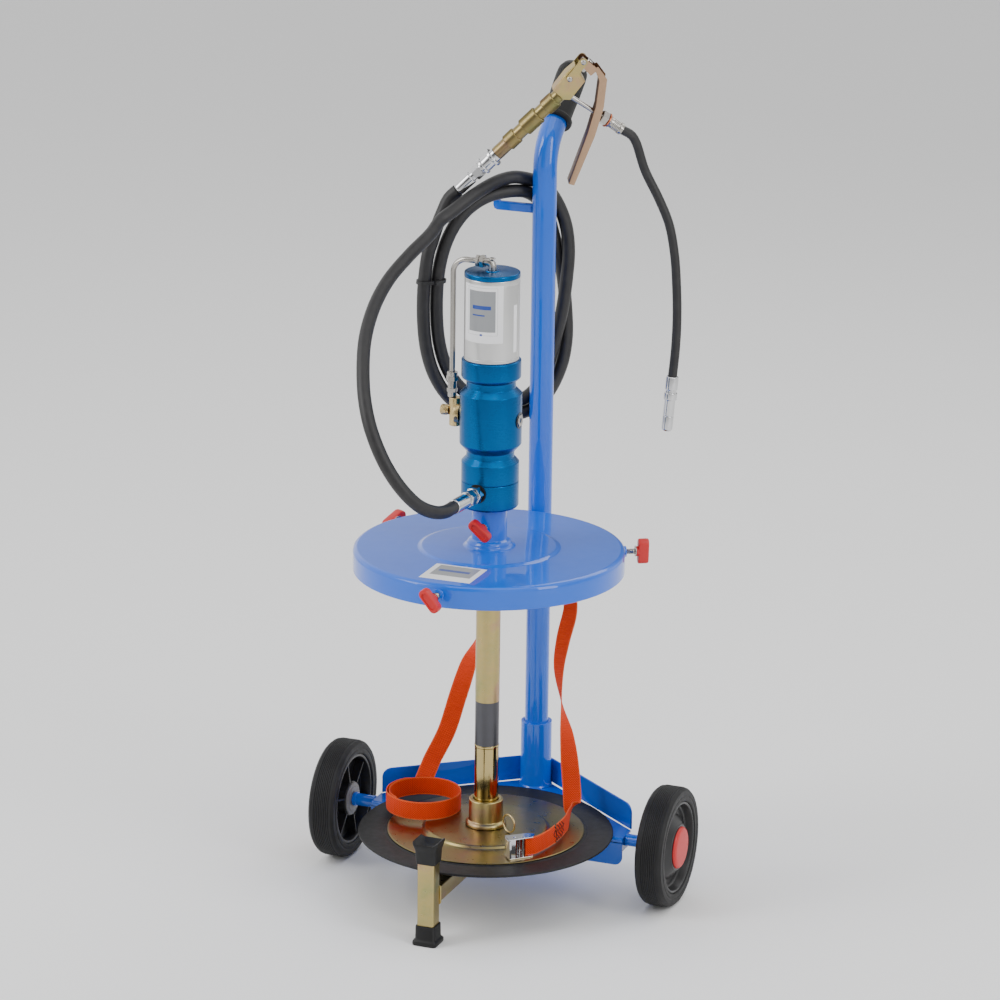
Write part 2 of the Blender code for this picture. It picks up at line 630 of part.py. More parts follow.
def air_line():
    """Stainless elbow, bent air tube and lower elbow, feeding the brass valve on the left side."""
    x_down = -0.0588
    top = CAP_Z + 0.0195
    stem = [(0.0058, 0.0260), (0.0058, 0), (0, 0), (0, 0.0260)]
    elbow = lathe("air_elbow_top", STEEL, stem, (0, 0, CAP_Z + 0.001), steps=16)
    arm = [(0.0053, 0.0235), (0.0053, -0.0030), (0, -0.0030), (0, 0.0235)]
    weld(elbow, lathe("air_elbow_top_arm", STEEL, arm, (0, 0, top), (-1, 0, 0), 14))
    nut = [(0.0088, 0.0240), (0.0098, 0.0225), (0.0098, 0.0120), (0.0088, 0.0105), (0, 0.0105), (0, 0.0240)]
    weld(elbow, lathe("air_elbow_top_nut", STEEL, nut, (0, 0, top), (-1, 0, 0), 6))

    bend = 0.0200
    route = [(-0.0243, 0, top), (x_down + bend, 0, top)]
    for i in range(1, 7):
        a = math.pi / 2 * i / 6
        route.append((x_down + bend - bend * math.sin(a), 0, top - bend + bend * math.cos(a)))
    route.append((x_down, 0, 0.7800))
    pipe("air_tube", STEEL, route, 0.0040, 0.0028, 10)

    nut_low = [(0.0078, 0.0150), (0.0088, 0.0135), (0.0088, 0.0015), (0.0078, 0), (0, 0), (0, 0.0150)]
    lower = lathe("air_elbow_bottom", STEEL, nut_low, (x_down, 0, 0.7645), steps=6)
    stem_low = [(0.0062, 0.0230), (0.0062, 0), (0, 0), (0, 0.0230)]
    weld(lower, lathe("air_elbow_bottom_stem", STEEL, stem_low, (x_down, 0, 0.7430), steps=14))

    flat = [(0.0085, 0.0205), (0.0085, -0.0205), (0, -0.0205), (0, 0.0205)]
    valve = lathe("air_valve", BRASS, flat, (-0.0540, 0, 0.7220), steps=20)
    seat = [(0.0150, 0.0080), (0.0150, 0), (0, 0), (0, 0.0080)]
    weld(valve, lathe("air_valve_seat", BRASS, seat, (-0.0440 - GAP, 0, 0.7200), (-1, 0, 0), 24))
    silencer = [(0.0072, 0.0125), (0.0078, 0.0115), (0.0078, 0), (0, 0), (0, 0.0125)]
    lathe("air_silencer", BRASS, silencer, (-0.0628, 0, 0.7225), (-1, 0, 0), 16)


# ---------------------------------------------------------------- follower plate
def follower():
    top = RUBBER_Z + RUBBER_T
    bore = TUBE_R + 0.0005
    disc = [(FOLLOWER_R, top), (FOLLOWER_R, RUBBER_Z), (bore, RUBBER_Z), (bore, top)]
    lathe("follower_rubber", RUBBER, disc, steps=36)
    rest = top + GAP
    plate = [
        (bore, rest + 0.0080), (bore, rest), (FOLLOWER_PLATE_R, rest),
        (FOLLOWER_PLATE_R, rest + 0.0015), (0.0930, rest + 0.0020), (0.0870, rest + 0.0075),
        (0.0400, rest + 0.0080),
    ]
    lathe("follower_plate", ZINC, plate, steps=36)
    seat = rest + 0.0080 + GAP
    hub = [
        (0.0240, seat + 0.0400), (0.0248, seat + 0.0390), (0.0248, seat + 0.0075),
        (0.0275, seat + 0.0060), (0.0295, seat + 0.0030), (0.0290, seat), (bore, seat),
        (bore, seat + 0.0400),
    ]
    lathe("follower_hub", ZINC, hub, steps=24)
    section = [2 * math.pi * i / 6 for i in range(6)]
    wire = [(0.0130 + 0.00125 * math.cos(a), 0.00125 * math.sin(a)) for a in section]
    lathe("pull_ring", BRASS, wire, (0.0440, -0.0220, seat + 0.0143), (0.50, 0.86, 0), 16)


# ---------------------------------------------------------------- lashing strap
def strap_ring():
    """The rolled-up end, standing on edge: nearly one and a half turns from the free end out."""
    stops = []
    for i in range(22):
        a = math.radians(600 - i * 480 / 21)
        r = STRAP_RING_R - 0.0050 + 0.0050 * i / 21
        out = Vector((math.cos(a), math.sin(a), 0))
        stops.append((STRAP_RING + out * r, math.degrees(a)))
    return stops


def strap():
    """Orange webbing. Each stop is a point of its middle line and the plan angle its face looks."""
    stops = strap_ring()
    column = Vector((FRAME_X, COLUMN_Y, STRAP_EYE_Z))
    wrap = COLUMN_R + 2 * STRAP_T
    stops += [
        (Vector((-0.1290, 0.1130, 0.1520)), 114), (Vector((-0.1175, 0.1380, 0.1880)), 112),
        (Vector((-0.1080, 0.1560, 0.2360)), 106), (Vector((-0.0990, 0.1720, 0.2800)), 80),
        (Vector((-0.0908, 0.1850, 0.3185)), 21), (Vector((-0.0790, 0.1960, 0.3600)), -20),
        (Vector((-0.0580, 0.2080, 0.4080)), -42), (Vector((-0.0350, 0.2200, 0.4400)), -52),
    ]
    for degrees in (130, 110, 90, 70, 50):
        a = math.radians(degrees)
        stops.append((column + wrap * Vector((math.cos(a), math.sin(a), 0)), degrees - 180))
    stops += [
        (Vector((0.0270, 0.2190, 0.4400)), -128), (Vector((0.0470, 0.2020, 0.4150)), -118),
        (Vector((0.0545, 0.1920, 0.3850)), -110), (Vector((0.0500, 0.1750, 0.3400)), -112),
        (Vector((0.0500, 0.1600, 0.3030)), -124), (Vector((0.0600, 0.1450, 0.2580)), -159),
        (Vector((0.0750, 0.1300, 0.2110)), -206), (Vector((0.0850, 0.1180, 0.1700)), -236),
        (Vector((0.0920, 0.1080, 0.1400)), -248), (Vector((0.0990, 0.0920, 0.1200)), -262),
        (Vector((0.1060, 0.0640, 0.1160)), -276), (Vector((0.1143, 0.0250, 0.1160)), -279),
        (Vector((0.1150, -0.0150, 0.1160)), -274), (Vector((0.1110, -0.0500, 0.1160)), -262),
        (buckle_point(0.0300, -0.0025), -240), (buckle_point(0.0160, -0.0035), -230),
    ]
    scale = 0.01  # how much a turn of the face counts as distance along the strap
    route = []
    for point, degrees in stops:
        a = math.radians(degrees)
        route.append(Vector((*point, scale * math.cos(a), scale * math.sin(a))))
    path = smooth_path(route, 0.015)
    frames = frames_along([p.to_3d() for p in path])
    loops = []
    for (point, tangent, _, _), whole in zip(frames, path):
        face = Vector((whole[3], whole[4], 0))
        face = (face - face.dot(tangent) * tangent).normalized() * STRAP_T / 2
        side = tangent.cross(face).normalized() * STRAP_W / 2
        loops.append([point + side + face, point - side + face, point - side - face, point + side - face])
    place("strap", finished(skin(loops), "strap"), ORANGE)


def buckle_point(along, across):
    """A point half way up the buckle, measured from its pin towards the strap and to the back."""
    c, s = math.cos(BUCKLE_TURN), math.sin(BUCKLE_TURN)
    return BUCKLE + Vector((along * c - across * s, along * s + across * c, BUCKLE_H / 2))


def buckle():
    """Cam buckle lying on its side: two cheeks, a floor, the strap's bar, and the sprung lever."""
    turn = Matrix.Rotation(BUCKLE_TURN, 3, "Z")
    cheek = [(-0.0110, 0.0092), (-0.0100, -0.0110), (0.0264, -0.0076), (0.0328, 0.0036), (0.0240, 0.0092)]
    frame = prism("buckle_frame", CHROME, cheek, CHEEK_T, BUCKLE, turn)
    lift = Vector((0, 0, BUCKLE_H - CHEEK_T))
    weld(frame, prism("buckle_cheek", CHROME, cheek, CHEEK_T, BUCKLE + lift, turn))
    floor = [(-0.0040, 0.0074), (0.0240, 0.0074), (0.0240, 0.0090), (-0.0040, 0.0090)]
    sink = Vector((0, 0, CHEEK_T / 2))
    weld(frame, prism("buckle_floor", CHROME, floor, BUCKLE_H - CHEEK_T, BUCKLE + sink, turn))
    for name, spot, radius in (("pin", (0, 0), 0.0020), ("bar", (0.0125, -0.0035), 0.0018)):
        foot = buckle_point(*spot) - Vector((0, 0, BUCKLE_H / 2 - CHEEK_T / 2))
        rod = [(radius, BUCKLE_H - CHEEK_T), (radius, 0), (0, 0), (0, BUCKLE_H - CHEEK_T)]
        weld(frame, lathe(f"buckle_{name}", CHROME, rod, foot, steps=12))
    lever_h = BUCKLE_H - 2 * CHEEK_T - 2 * GAP
    foot = BUCKLE + Vector((0, 0, CHEEK_T + GAP))
    arm = [
        (0.0046, 0.0), (0.0036, 0.0036), (0, 0.0046), (-0.0080, 0.0030), (-0.0092, 0.0078),
        (-0.0112, 0.0078), (-0.0122, -0.0060), (-0.0105, -0.0120), (-0.0080, -0.0125),
        (-0.0096, -0.0060), (-0.0090, -0.0020), (-0.0030, -0.0040), (0.0010, -0.0046),
    ]
    lever = prism("buckle_lever", CHROME, arm, lever_h, foot, turn)
    drill(lever, foot - Vector((0, 0, 0.002)), (0, 0, 1), around(0.0020 + GAP, 16), lever_h + 0.004)


# ---------------------------------------------------------------- stored hose and handset
def coil_loop(share, depth, count=30):
    """One outline of the coil: share runs from its inside (0) to its outside (1).

    At the upper left the outer strand has left for the handset, so the coil is half as wide."""
    points = []
    for i in range(count):
        a = 2 * math.pi * i / count
        c, s = math.cos(a), math.sin(a)
        parted = min(1.0, max(0.0, (math.cos(a - COIL_PARTING) - 0.80) / 0.12))
        here = share * (1 - 0.5 * parted)
        left, right, tall = [low + (high - low) * here for low, high in zip(COIL_INNER, COIL_OUTER)]
        across = math.copysign(abs(c) ** (2 / COIL_SHAPE), c) * (right if c > 0 else left)
        up = math.copysign(abs(s) ** (2 / COIL_SHAPE), s) * tall
        points.append(COIL_CENTRE + COIL_ACROSS * across + COIL_FACING * depth + Vector((0, 0, up)))
    return points


def coil_point(across, z):
    """A point in the coil's upright middle plane."""
    return Vector((-0.0450, 0.2150, z)) + COIL_ACROSS * across


def hoses():
    """The long hose: from the pump's outlet to the coil on the hook, and on to the handset."""
    out = Vector((math.cos(OUTLET_ANGLE), math.sin(OUTLET_ANGLE), 0))
    start = out * (FITTING_END + GAP) + Vector((0, 0, OUTLET_Z))
    route = [
        start, start + out * 0.012, start + out * 0.023, (-0.0200, -0.1560, 0.6195),
        (-0.0345, -0.1775, 0.6320), (-0.0540, -0.1920, 0.6563), (-0.0771, -0.1980, 0.6912),
        (-0.1021, -0.1900, 0.7349), (-0.1198, -0.1720, 0.7704), (-0.1343, -0.1450, 0.8045),
        (-0.1471, -0.1080, 0.8422), (-0.1523, -0.0650, 0.8769), (-0.1495, -0.0200, 0.9065),
        (-0.1368, 0.0280, 0.9340), (-0.1229, 0.0720, 0.9563), (-0.1183, 0.1000, 0.9711),
    ]
    hose("delivery_hose", RUBBER, route, HOSE_R, 0.022)
    c = COIL_T / 4
    t = COIL_T / 2
    section = [(0.15, t), (0.85, t), (1, c), (1, -c), (0.85, -t), (0.15, -t), (0, -c), (0, c)]
    loops = [coil_loop(share, depth) for share, depth in section]
    place("hose_coil", finished(skin(loops, ring=True), "hose_coil"), RUBBER)
    back, _ = gun_axes()
    up_to_gun = [
        coil_point(-0.1400, 0.9320), coil_point(-0.1300, 0.9620), GUN_TAIL - back * 0.018,
        GUN_TAIL - back * 2 * GAP,
    ]
    hose("gun_hose", RUBBER, up_to_gun, HOSE_R, 0.010)


def gun_axes():
    """The way along the barrel, and the way the trigger hangs square to it."""
    x = (GUN_HEAD - GUN_TAIL).normalized()
    return x, (GUN_TRIGGER - GUN_TRIGGER.dot(x) * x).normalized()


def gun_frame():
    """Empty at the head: X along the barrel, Y the way the trigger hangs."""
    x, y = gun_axes()
    frame = bpy.data.objects.new("gun_frame", None)
    frame.parent = MACHINE
    frame.location = GUN_HEAD
    frame.rotation_euler = Matrix((x, y, x.cross(y))).transposed().to_euler()
    bpy.context.scene.collection.objects.link(frame)
    return frame


def gun_point(along, across):
    """A point in the handset's middle plane, measured from its head."""
    x, y = gun_axes()
    return GUN_HEAD + along * x + across * y


def plate_on(frame, name, stuff, outline, half, location=(0, 0, 0)):
    """A flat piece square to the trigger's pin, half its thickness to each side of the middle."""
    shifted = Vector(location) - Vector((0, 0, half))
    piece = prism(name, stuff, outline, 2 * half, shifted)
    piece.parent = frame
    return piece


def round_on(frame, name, stuff, profile, location, direction, steps=16):
    piece = lathe(name, stuff, profile, location, direction, steps)
    piece.parent = frame
    return piece


def rivet_profile(half, radius):
    """A pin with a domed head at each end, from one end to the other."""
    head = radius + 0.0014
    return [
        (0, half + 0.0018), (head * 0.6, half + 0.0014), (head, half), (radius, half - 0.0002),
        (radius, 0.0002 - half), (head, -half), (head * 0.6, -half - 0.0014), (0, -half - 0.0018),
    ]


def gun():
    frame = gun_frame()
    tail = (-(GUN_HEAD - GUN_TAIL).length, 0, 0)
    swivel = [
        (0, 0.0780), (0.0100, 0.0780), (0.0100, 0.0730), (0.0140, 0.0725), (0.0140, 0.0680),
        (0.0108, 0.0675), (0.0108, 0.0540), (0.0125, 0.0535), (0.0125, 0.0495), (0.0088, 0.0490),
        (0.0088, 0.0320), (0.0070, 0.0315), (0.0070, 0.0290), (0.0092, 0.0280), (0.0092, 0.0010),
        (0.0084, 0), (0, 0),
    ]
    round_on(frame, "gun_swivel", CHROME, swivel, tail, (1, 0, 0))
    sleeve = [
        (0.0098, 0.2030), (0.0098, 0.1960), (0.0122, 0.1950), (0.0122, 0.1750), (0.0102, 0.1740),
        (0.0102, 0.1630), (0.0130, 0.1620), (0.0130, 0.1330), (0.0102, 0.1320), (0.0102, 0.1200),
        (0.0120, 0.1190), (0.0120, 0.1000), (0.0102, 0.0990), (0.0102, 0.0783), (0.0050, 0.0783),
        (0.0050, 0.2030),
    ]
    round_on(frame, "gun_barrel", ZINC, sleeve, tail, (1, 0, 0))

    outline = [
        (-0.0305, -0.0150), (-0.0310, 0.0060), (-0.0240, 0.0140), (0.0100, 0.0090),
        (0.0135, -0.0030), (0.0180, -0.0080), (0.0180, -0.0190), (0.0000, -0.0200),
    ]
    head = plate_on(frame, "gun_head", ZINC, outline, GUN_HEAD_HALF)
    plug = [(0, 0.0200), (0.0046, 0.0200), (0.0052, 0.0185), (0.0052, 0), (0, 0)]
    weld(head, round_on(frame, "gun_plug", STEEL, plug, (0.0170, -0.0050, 0), (1, 0, 0), 16))
    through = Vector((0, 0, GUN_HEAD_HALF + 0.002))
    bore = drill(head, Vector((*GUN_RIVET, 0)) - through, (0, 0, 1), RIVET_R + GAP, 2 * through.z)
    bore.parent = frame

    strip = GUN_HEAD_HALF + GAP
    slope = math.degrees(math.atan2(GUN_PIVOT[1] - GUN_RIVET[1], GUN_PIVOT[0] - GUN_RIVET[0]))
    capsule = corner(GUN_PIVOT, 0.0058, slope - 90, slope + 90, 6)
    capsule += corner(GUN_RIVET, 0.0058, slope + 90, slope + 270, 6)
    shift = Vector((0, 0, strip + 0.0008))
    link = plate_on(frame, "gun_link", ZINC, capsule, 0.0008, -shift)
    weld(link, plate_on(frame, "gun_link_far", ZINC, capsule, 0.0008, shift))
    pin = rivet_profile(strip + 0.0016, RIVET_R)
    for word, spot in (("rivet", GUN_RIVET), ("pivot", GUN_PIVOT)):
        weld(link, round_on(frame, f"gun_{word}", STEEL, pin, (*spot, 0), (0, 0, 1), 12))

    gun_lever(frame)
    start = (*GUN_OUTLET, 0)
    direction = Vector((*GUN_OUTLET_RUN, 0)).normalized()
    end = GUN_OUTLET_LENGTH
    stem = [
        (0, end), (0.0072, end), (0.0088, end - 0.0010), (0.0088, end - 0.0060),
        (0.0078, end - 0.0070), (0.0078, 0.0710), (0.0096, 0.0700), (0.0096, 0.0665),
        (0.0108, 0.0661), (0.0108, 0.0645), (0.0034, 0.0640), (0.0034, 0.0012), (0, 0.0012),
    ]
    outlet = round_on(frame, "gun_outlet_pipe", STEEL, stem, start, direction, 14)
    nut = [
        (0, 0.0650), (0.0094, 0.0650), (0.0106, 0.0637), (0.0106, 0.0555), (0.0094, 0.0542), (0, 0.0542),
    ]
    weld(outlet, round_on(frame, "gun_outlet_nut", STEEL, nut, start, direction, 6))


def gun_lever(frame):
    """Trigger: a bent channel, open towards the barrel, on two ears that turn on the pivot pin."""
    line = [(0.0330, 0.0040), (0.0252, 0.0220), (-0.0056, 0.0469), (-0.0435, 0.0689), (-0.1165, 0.1053)]
    halves = [GUN_HEAD_HALF - 0.0003, GUN_LEVER_HALF, GUN_LEVER_HALF, GUN_LEVER_HALF, GUN_LEVER_HALF]
    depths = [0.0060, 0.0110, 0.0115, 0.0115, 0.0085]
    points = [Vector(p) - Vector(GUN_PIVOT) for p in line]
    sheet = 0.0016
    loops = []
    for i, (point, half, depth) in enumerate(zip(points, halves, depths)):
        before = (point - points[max(i - 1, 0)]).normalized()
        after = (points[min(i + 1, len(points) - 1)] - point).normalized()
        along = (before + after).normalized()
        inward = Vector((along.y, -along.x)) / max(along.dot(after), along.dot(before))
        low, floor = point + inward * depth, point + inward * sheet
        inside = half - sheet
        loops.append([
            (*low, -half), (*point, -half), (*point, half), (*low, half),
            (*low, inside), (*floor, inside), (*floor, -inside), (*low, -inside),
        ])
    lever = place("gun_lever", finished(skin(loops), "gun_lever"), ZINC, (*GUN_PIVOT, 0))
    lever.parent = frame
    top = GUN_HEAD_HALF - 0.0003
    ear = corner((0, 0), 0.0060, 180, 330, 6) + [(0.0060, 0.0200), (0.0045, 0.0240), (-0.0080, 0.0230)]
    for side in (-1, 1):
        spot = (*GUN_PIVOT, side * (top - sheet / 2))
        weld(lever, plate_on(frame, f"gun_ear_{side}", ZINC, ear, sheet / 2, spot))
    start = Vector((*GUN_PIVOT, -top - 0.002))
    bore = drill(lever, start, (0, 0, 1), around(RIVET_R + GAP, 16), 2 * top + 0.004)
    bore.parent = frame
    slot = [(-0.0100, 0.0300), (0.0180, 0.0300), (0.0180, 0.0650), (-0.0260, 0.0650), (-0.0260, 0.0400)]
    cutter = plate_on(frame, "gun_lever_slot", STEEL, slot, 0.0060)
    boolean(lever, cutter, "DIFFERENCE")


def whip():
    """Short hose from the handset, hanging in a curve to its coupler."""
    run = Vector(GUN_OUTLET_RUN).normalized()
    tip = Vector(GUN_OUTLET) + run * (GUN_OUTLET_LENGTH + GAP)
    after = tip + run * 0.020
    route = [
        gun_point(*tip), gun_point(*after), (0.1349, 0.2510, 1.0352),
        (0.1553, 0.2550, 0.9952), (0.1707, 0.2570, 0.9595), (0.1801, 0.2570, 0.9156),
        (0.1846, 0.2560, 0.8712), (0.1872, 0.2540, 0.8260), (0.1868, 0.2520, 0.7788),
        (0.1839, 0.2500, 0.7372),
    ]
    hose("whip_hose", RUBBER, route, WHIP_R, 0.018)
    down = (Vector(route[-1]) - Vector(route[-2])).normalized()
    coupler = [
        (0, 0), (0.0085, 0), (0.0092, 0.0015), (0.0092, 0.0190), (0.0078, 0.0200), (0.0078, 0.0240),
        (0.0095, 0.0245), (0.0095, 0.0345), (0.0080, 0.0350), (0.0080, 0.0790), (0.0066, 0.0810),
        (0.0035, 0.0810), (0.0035, 0.0690), (0, 0.0670),
    ]
    lathe("whip_coupler", CHROME, coupler, Vector(route[-1]) + down * GAP, down, 16)


base_plate()
rear_guard()
column()
front_leg()
wheel(-1, "left")
wheel(1, "right")
lid()
pump()
air_line()
follower()
strap()
buckle()
hoses()
gun()
whip()
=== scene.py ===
"""The look of the air-operated barrel pump on its trolley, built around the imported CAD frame.

Units are metres, +Z is up, in the CAD's own frame. Numbers are measured from the pump's axis and
the floor, as in the part's source: at() puts them where the pump stands.
"""

import math

import bmesh
import bpy
from mathutils import Matrix, Vector


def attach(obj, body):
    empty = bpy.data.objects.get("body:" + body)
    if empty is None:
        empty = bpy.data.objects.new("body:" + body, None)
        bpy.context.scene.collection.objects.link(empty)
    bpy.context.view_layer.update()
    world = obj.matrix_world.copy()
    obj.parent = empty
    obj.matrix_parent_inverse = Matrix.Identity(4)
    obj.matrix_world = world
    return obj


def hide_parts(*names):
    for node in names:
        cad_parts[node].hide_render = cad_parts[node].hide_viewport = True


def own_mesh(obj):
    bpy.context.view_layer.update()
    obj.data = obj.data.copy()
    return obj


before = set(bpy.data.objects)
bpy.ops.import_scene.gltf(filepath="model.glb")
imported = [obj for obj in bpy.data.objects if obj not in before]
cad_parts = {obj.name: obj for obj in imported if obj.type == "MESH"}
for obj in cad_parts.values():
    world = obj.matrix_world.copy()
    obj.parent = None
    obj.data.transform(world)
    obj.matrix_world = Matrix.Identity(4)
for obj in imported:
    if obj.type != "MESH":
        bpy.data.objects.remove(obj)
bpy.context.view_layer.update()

PUMP_Y = -0.053
FRAME_X = -0.0045
GAP = 0.0003


def at(x, y, z):
    """A point measured from the pump's axis, in the row frame."""
    return Vector((x, y + PUMP_Y, z))


HERE = Matrix.Translation(at(0, 0, 0))


# ---------------------------------------------------------------- camera
CAMERA_AT = at(2.18639, -5.63659, 2.41591)
CAMERA_TURN = (math.radians(21.063), math.radians(16.743), math.radians(0.735))
SENSOR = 36
LENS = 160.32


def camera():
    azimuth, elevation, roll = CAMERA_TURN
    back = Vector((
        math.sin(azimuth) * math.cos(elevation), -math.cos(azimuth) * math.cos(elevation),
        math.sin(elevation),
    ))
    right = Vector((math.cos(azimuth), math.sin(azimuth), 0))
    up = back.cross(right)
    x = right * math.cos(roll) + up * math.sin(roll)
    y = up * math.cos(roll) - right * math.sin(roll)
    data = bpy.data.cameras.new("camera")
    data.sensor_width = SENSOR
    data.lens = LENS
    data.clip_end = 50
    made = bpy.data.objects.new("camera", data)
    made.matrix_world = Matrix.Translation(CAMERA_AT) @ Matrix((x, y, back)).transposed().to_4x4()
    bpy.context.scene.collection.objects.link(made)
    bpy.context.scene.camera = made


camera()


# ---------------------------------------------------------------- material nodes
class Shade:
    """A material being built: a Principled shader and the nodes that feed it."""

    def __init__(self, name, colour, metallic=0.0, roughness=0.5, **sockets):
        self.made = bpy.data.materials.new(name)
        self.made.use_nodes = True
        self.tree = self.made.node_tree
        self.shader = self.tree.nodes["Principled BSDF"]
        self.shader.inputs["Base Color"].default_value = (*colour, 1)
        self.shader.inputs["Metallic"].default_value = metallic
        self.shader.inputs["Roughness"].default_value = roughness
        for socket, value in sockets.items():
            self.shader.inputs[socket.replace("_", " ")].default_value = value
        self.where = self.node("ShaderNodeTexCoord").outputs["Object"]

    def node(self, kind, **settings):
        made = self.tree.nodes.new(kind)
        for key, value in settings.items():
            setattr(made, key, value)
        return made

    def link(self, source, target):
        self.tree.links.new(source, target)

    def feed(self, node, **values):
        for key, value in values.items():
            socket = node.inputs[key.replace("_", " ")]
            if isinstance(value, bpy.types.NodeSocket):
                self.link(value, socket)
            else:
                socket.default_value = value
        return node

    def scaled(self, scale):
        """Object coordinates stretched by a different factor along each axis."""
        node = self.feed(self.node("ShaderNodeMapping"), Vector=self.where)
        node.inputs["Scale"].default_value = scale
        return node.outputs["Vector"]

    def noise(self, scale, detail=3.0, vector=None, roughness=0.5):
        node = self.feed(
            self.node("ShaderNodeTexNoise"), Vector=vector or self.where, Scale=scale, Detail=detail,
            Roughness=roughness,
        )
        return node.outputs["Fac"]

    def ramp(self, fac, stops):
        node = self.feed(self.node("ShaderNodeValToRGB"), Fac=fac)
        elements = node.color_ramp.elements
        while len(elements) < len(stops):
            elements.new(0.5)
        for element, (place, value) in zip(elements, stops):
            element.position = place
            element.color = (*value, 1) if hasattr(value, "__len__") else (value, value, value, 1)
        return node.outputs["Color"]

    def mix(self, fac, a, b):
        node = self.node("ShaderNodeMix", data_type="RGBA")
        for index, value in ((0, fac), (6, a), (7, b)):
            if isinstance(value, bpy.types.NodeSocket):
                self.link(value, node.inputs[index])
            else:
                node.inputs[index].default_value = value if index == 0 else (*value, 1)
        return node.outputs[2]

    def maths(self, operation, *values):
        node = self.node("ShaderNodeMath", operation=operation)
        for index, value in enumerate(values):
            if isinstance(value, bpy.types.NodeSocket):
                self.link(value, node.inputs[index])
            else:
                node.inputs[index].default_value = value
        return node.outputs[0]

    def colour(self, socket):
        self.link(socket, self.shader.inputs["Base Color"])

    def rough(self, fac, low, high):
        node = self.feed(
            self.node("ShaderNodeMapRange"), Value=fac, To_Min=low, To_Max=high,
        )
        self.link(node.outputs["Result"], self.shader.inputs["Roughness"])

    def bump(self, height, strength, distance, before=None):
        node = self.feed(self.node("ShaderNodeBump"), Height=height, Strength=strength, Distance=distance)
        if before is not None:
            self.link(before, node.inputs["Normal"])
        self.link(node.outputs["Normal"], self.shader.inputs["Normal"])
        return node.outputs["Normal"]

    def rings(self, normal):
        """Fine turning marks: noise read along a turned piece's axis."""
        dot = self.node("ShaderNodeVectorMath", operation="DOT_PRODUCT")
        self.link(self.where, dot.inputs[0])
        dot.inputs[1].default_value = normal
        combined = self.node("ShaderNodeCombineXYZ")
        self.link(dot.outputs["Value"], combined.inputs["X"])
        return combined.outputs["Vector"]


def blue_paint():
    s = Shade("blue_enamel", (0.0035, 0.120, 0.600), 0.0, 0.30, Coat_Weight=1.0, Coat_Roughness=0.02,
        Specular_IOR_Level=0.12)
    cloud = s.noise(9.0, 2.0)
    s.colour(s.mix(cloud, (0.0005, 0.100, 0.600), (0.0010, 0.122, 0.680)))
    s.rough(s.noise(60.0), 0.26, 0.38)
    peel = s.noise(420.0, 2.0)
    dust = s.ramp(s.noise(1500.0, 1.0), [(0.70, 0.0), (0.78, 1.0)])
    s.bump(dust, 0.10, 0.0002, s.bump(peel, 0.05, 0.0006))
    return s.made


def turned_metal(name, colour, other, metallic, low, high, axis, marks):
    """A turned metal: tone that drifts, fine rings across its axis, and a few handling marks."""
    s = Shade(name, colour, metallic, low)
    lines = s.noise(marks, 2.0, s.rings(axis))
    s.colour(s.mix(s.noise(14.0, 3.0), colour, other))
    smudge = s.noise(30.0, 4.0)
    s.rough(s.mix(0.5, lines, smudge), low, high)
    s.bump(lines, 0.14, 0.0003)
    return s.made


def yellow_zinc(name, dim=1.0):
    s = Shade(name, (0.42, 0.33, 0.15), 1.0, 0.3)
    drift = s.noise(16.0, 4.0, roughness=0.6)
    stops = (
        (0.30, (0.26, 0.30, 0.12)), (0.42, (0.40, 0.33, 0.13)), (0.54, (0.46, 0.35, 0.14)),
        (0.66, (0.44, 0.27, 0.17)), (0.78, (0.34, 0.26, 0.22)),
    )
    tint = s.ramp(drift, [(place, tuple(c * dim for c in tone)) for place, tone in stops])
    fine = s.noise(240.0, 2.0)
    s.colour(s.mix(s.ramp(fine, [(0.35, 0.0), (0.75, 0.55)]), tint, (0.40 * dim, 0.34 * dim, 0.17 * dim)))
    s.rough(s.noise(90.0, 4.0), 0.20, 0.42)
    s.bump(s.noise(700.0, 2.0), 0.10, 0.0003)
    return s.made


def plain_metal(name, colour, low, high, grain=600.0, stretch=(1, 1, 1)):
    s = Shade(name, colour, 1.0, low)
    dark = tuple(c * 0.82 for c in colour)
    s.colour(s.mix(s.noise(40.0, 4.0), colour, dark))
    scratch = s.noise(grain, 3.0, s.scaled(stretch))
    s.rough(scratch, low, high)
    s.bump(scratch, 0.06, 0.0002)
    return s.made


def rubber(name, colour, low, high, grain, strength=0.25):
    s = Shade(name, colour, 0.0, low, Specular_IOR_Level=0.30)
    bright = tuple(c * 1.7 + 0.001 for c in colour)
    s.colour(s.mix(s.ramp(s.noise(35.0, 4.0), [(0.4, 0.0), (0.8, 1.0)]), colour, bright))
    s.rough(s.noise(120.0, 4.0), low, high)
    s.bump(s.noise(grain, 3.0), strength, 0.0004)
    return s.made


def hose_rubber():
    """Black cover with the faint cross ribs that its cloth wrapping leaves while it cures."""
    s = Shade("hose_cover", (0.011, 0.0105, 0.0115), 0.0, 0.5, Specular_IOR_Level=0.5)
    along = s.node("ShaderNodeUVMap").outputs["UV"]
    wrap = s.node("ShaderNodeTexWave", wave_type="BANDS", bands_direction="X", wave_profile="SIN")
    s.feed(wrap, Vector=along, Scale=120.0, Distortion=1.2, Detail=1.0)
    dust = s.noise(70.0, 5.0)
    s.colour(s.mix(s.ramp(dust, [(0.45, 0.0), (0.85, 1.0)]), (0.0095, 0.009, 0.010), (0.020, 0.019, 0.019)))
    s.rough(dust, 0.40, 0.60)
    s.bump(wrap.outputs["Fac"], 0.10, 0.0003, s.bump(s.noise(900.0, 2.0), 0.20, 0.0003))
    return s.made


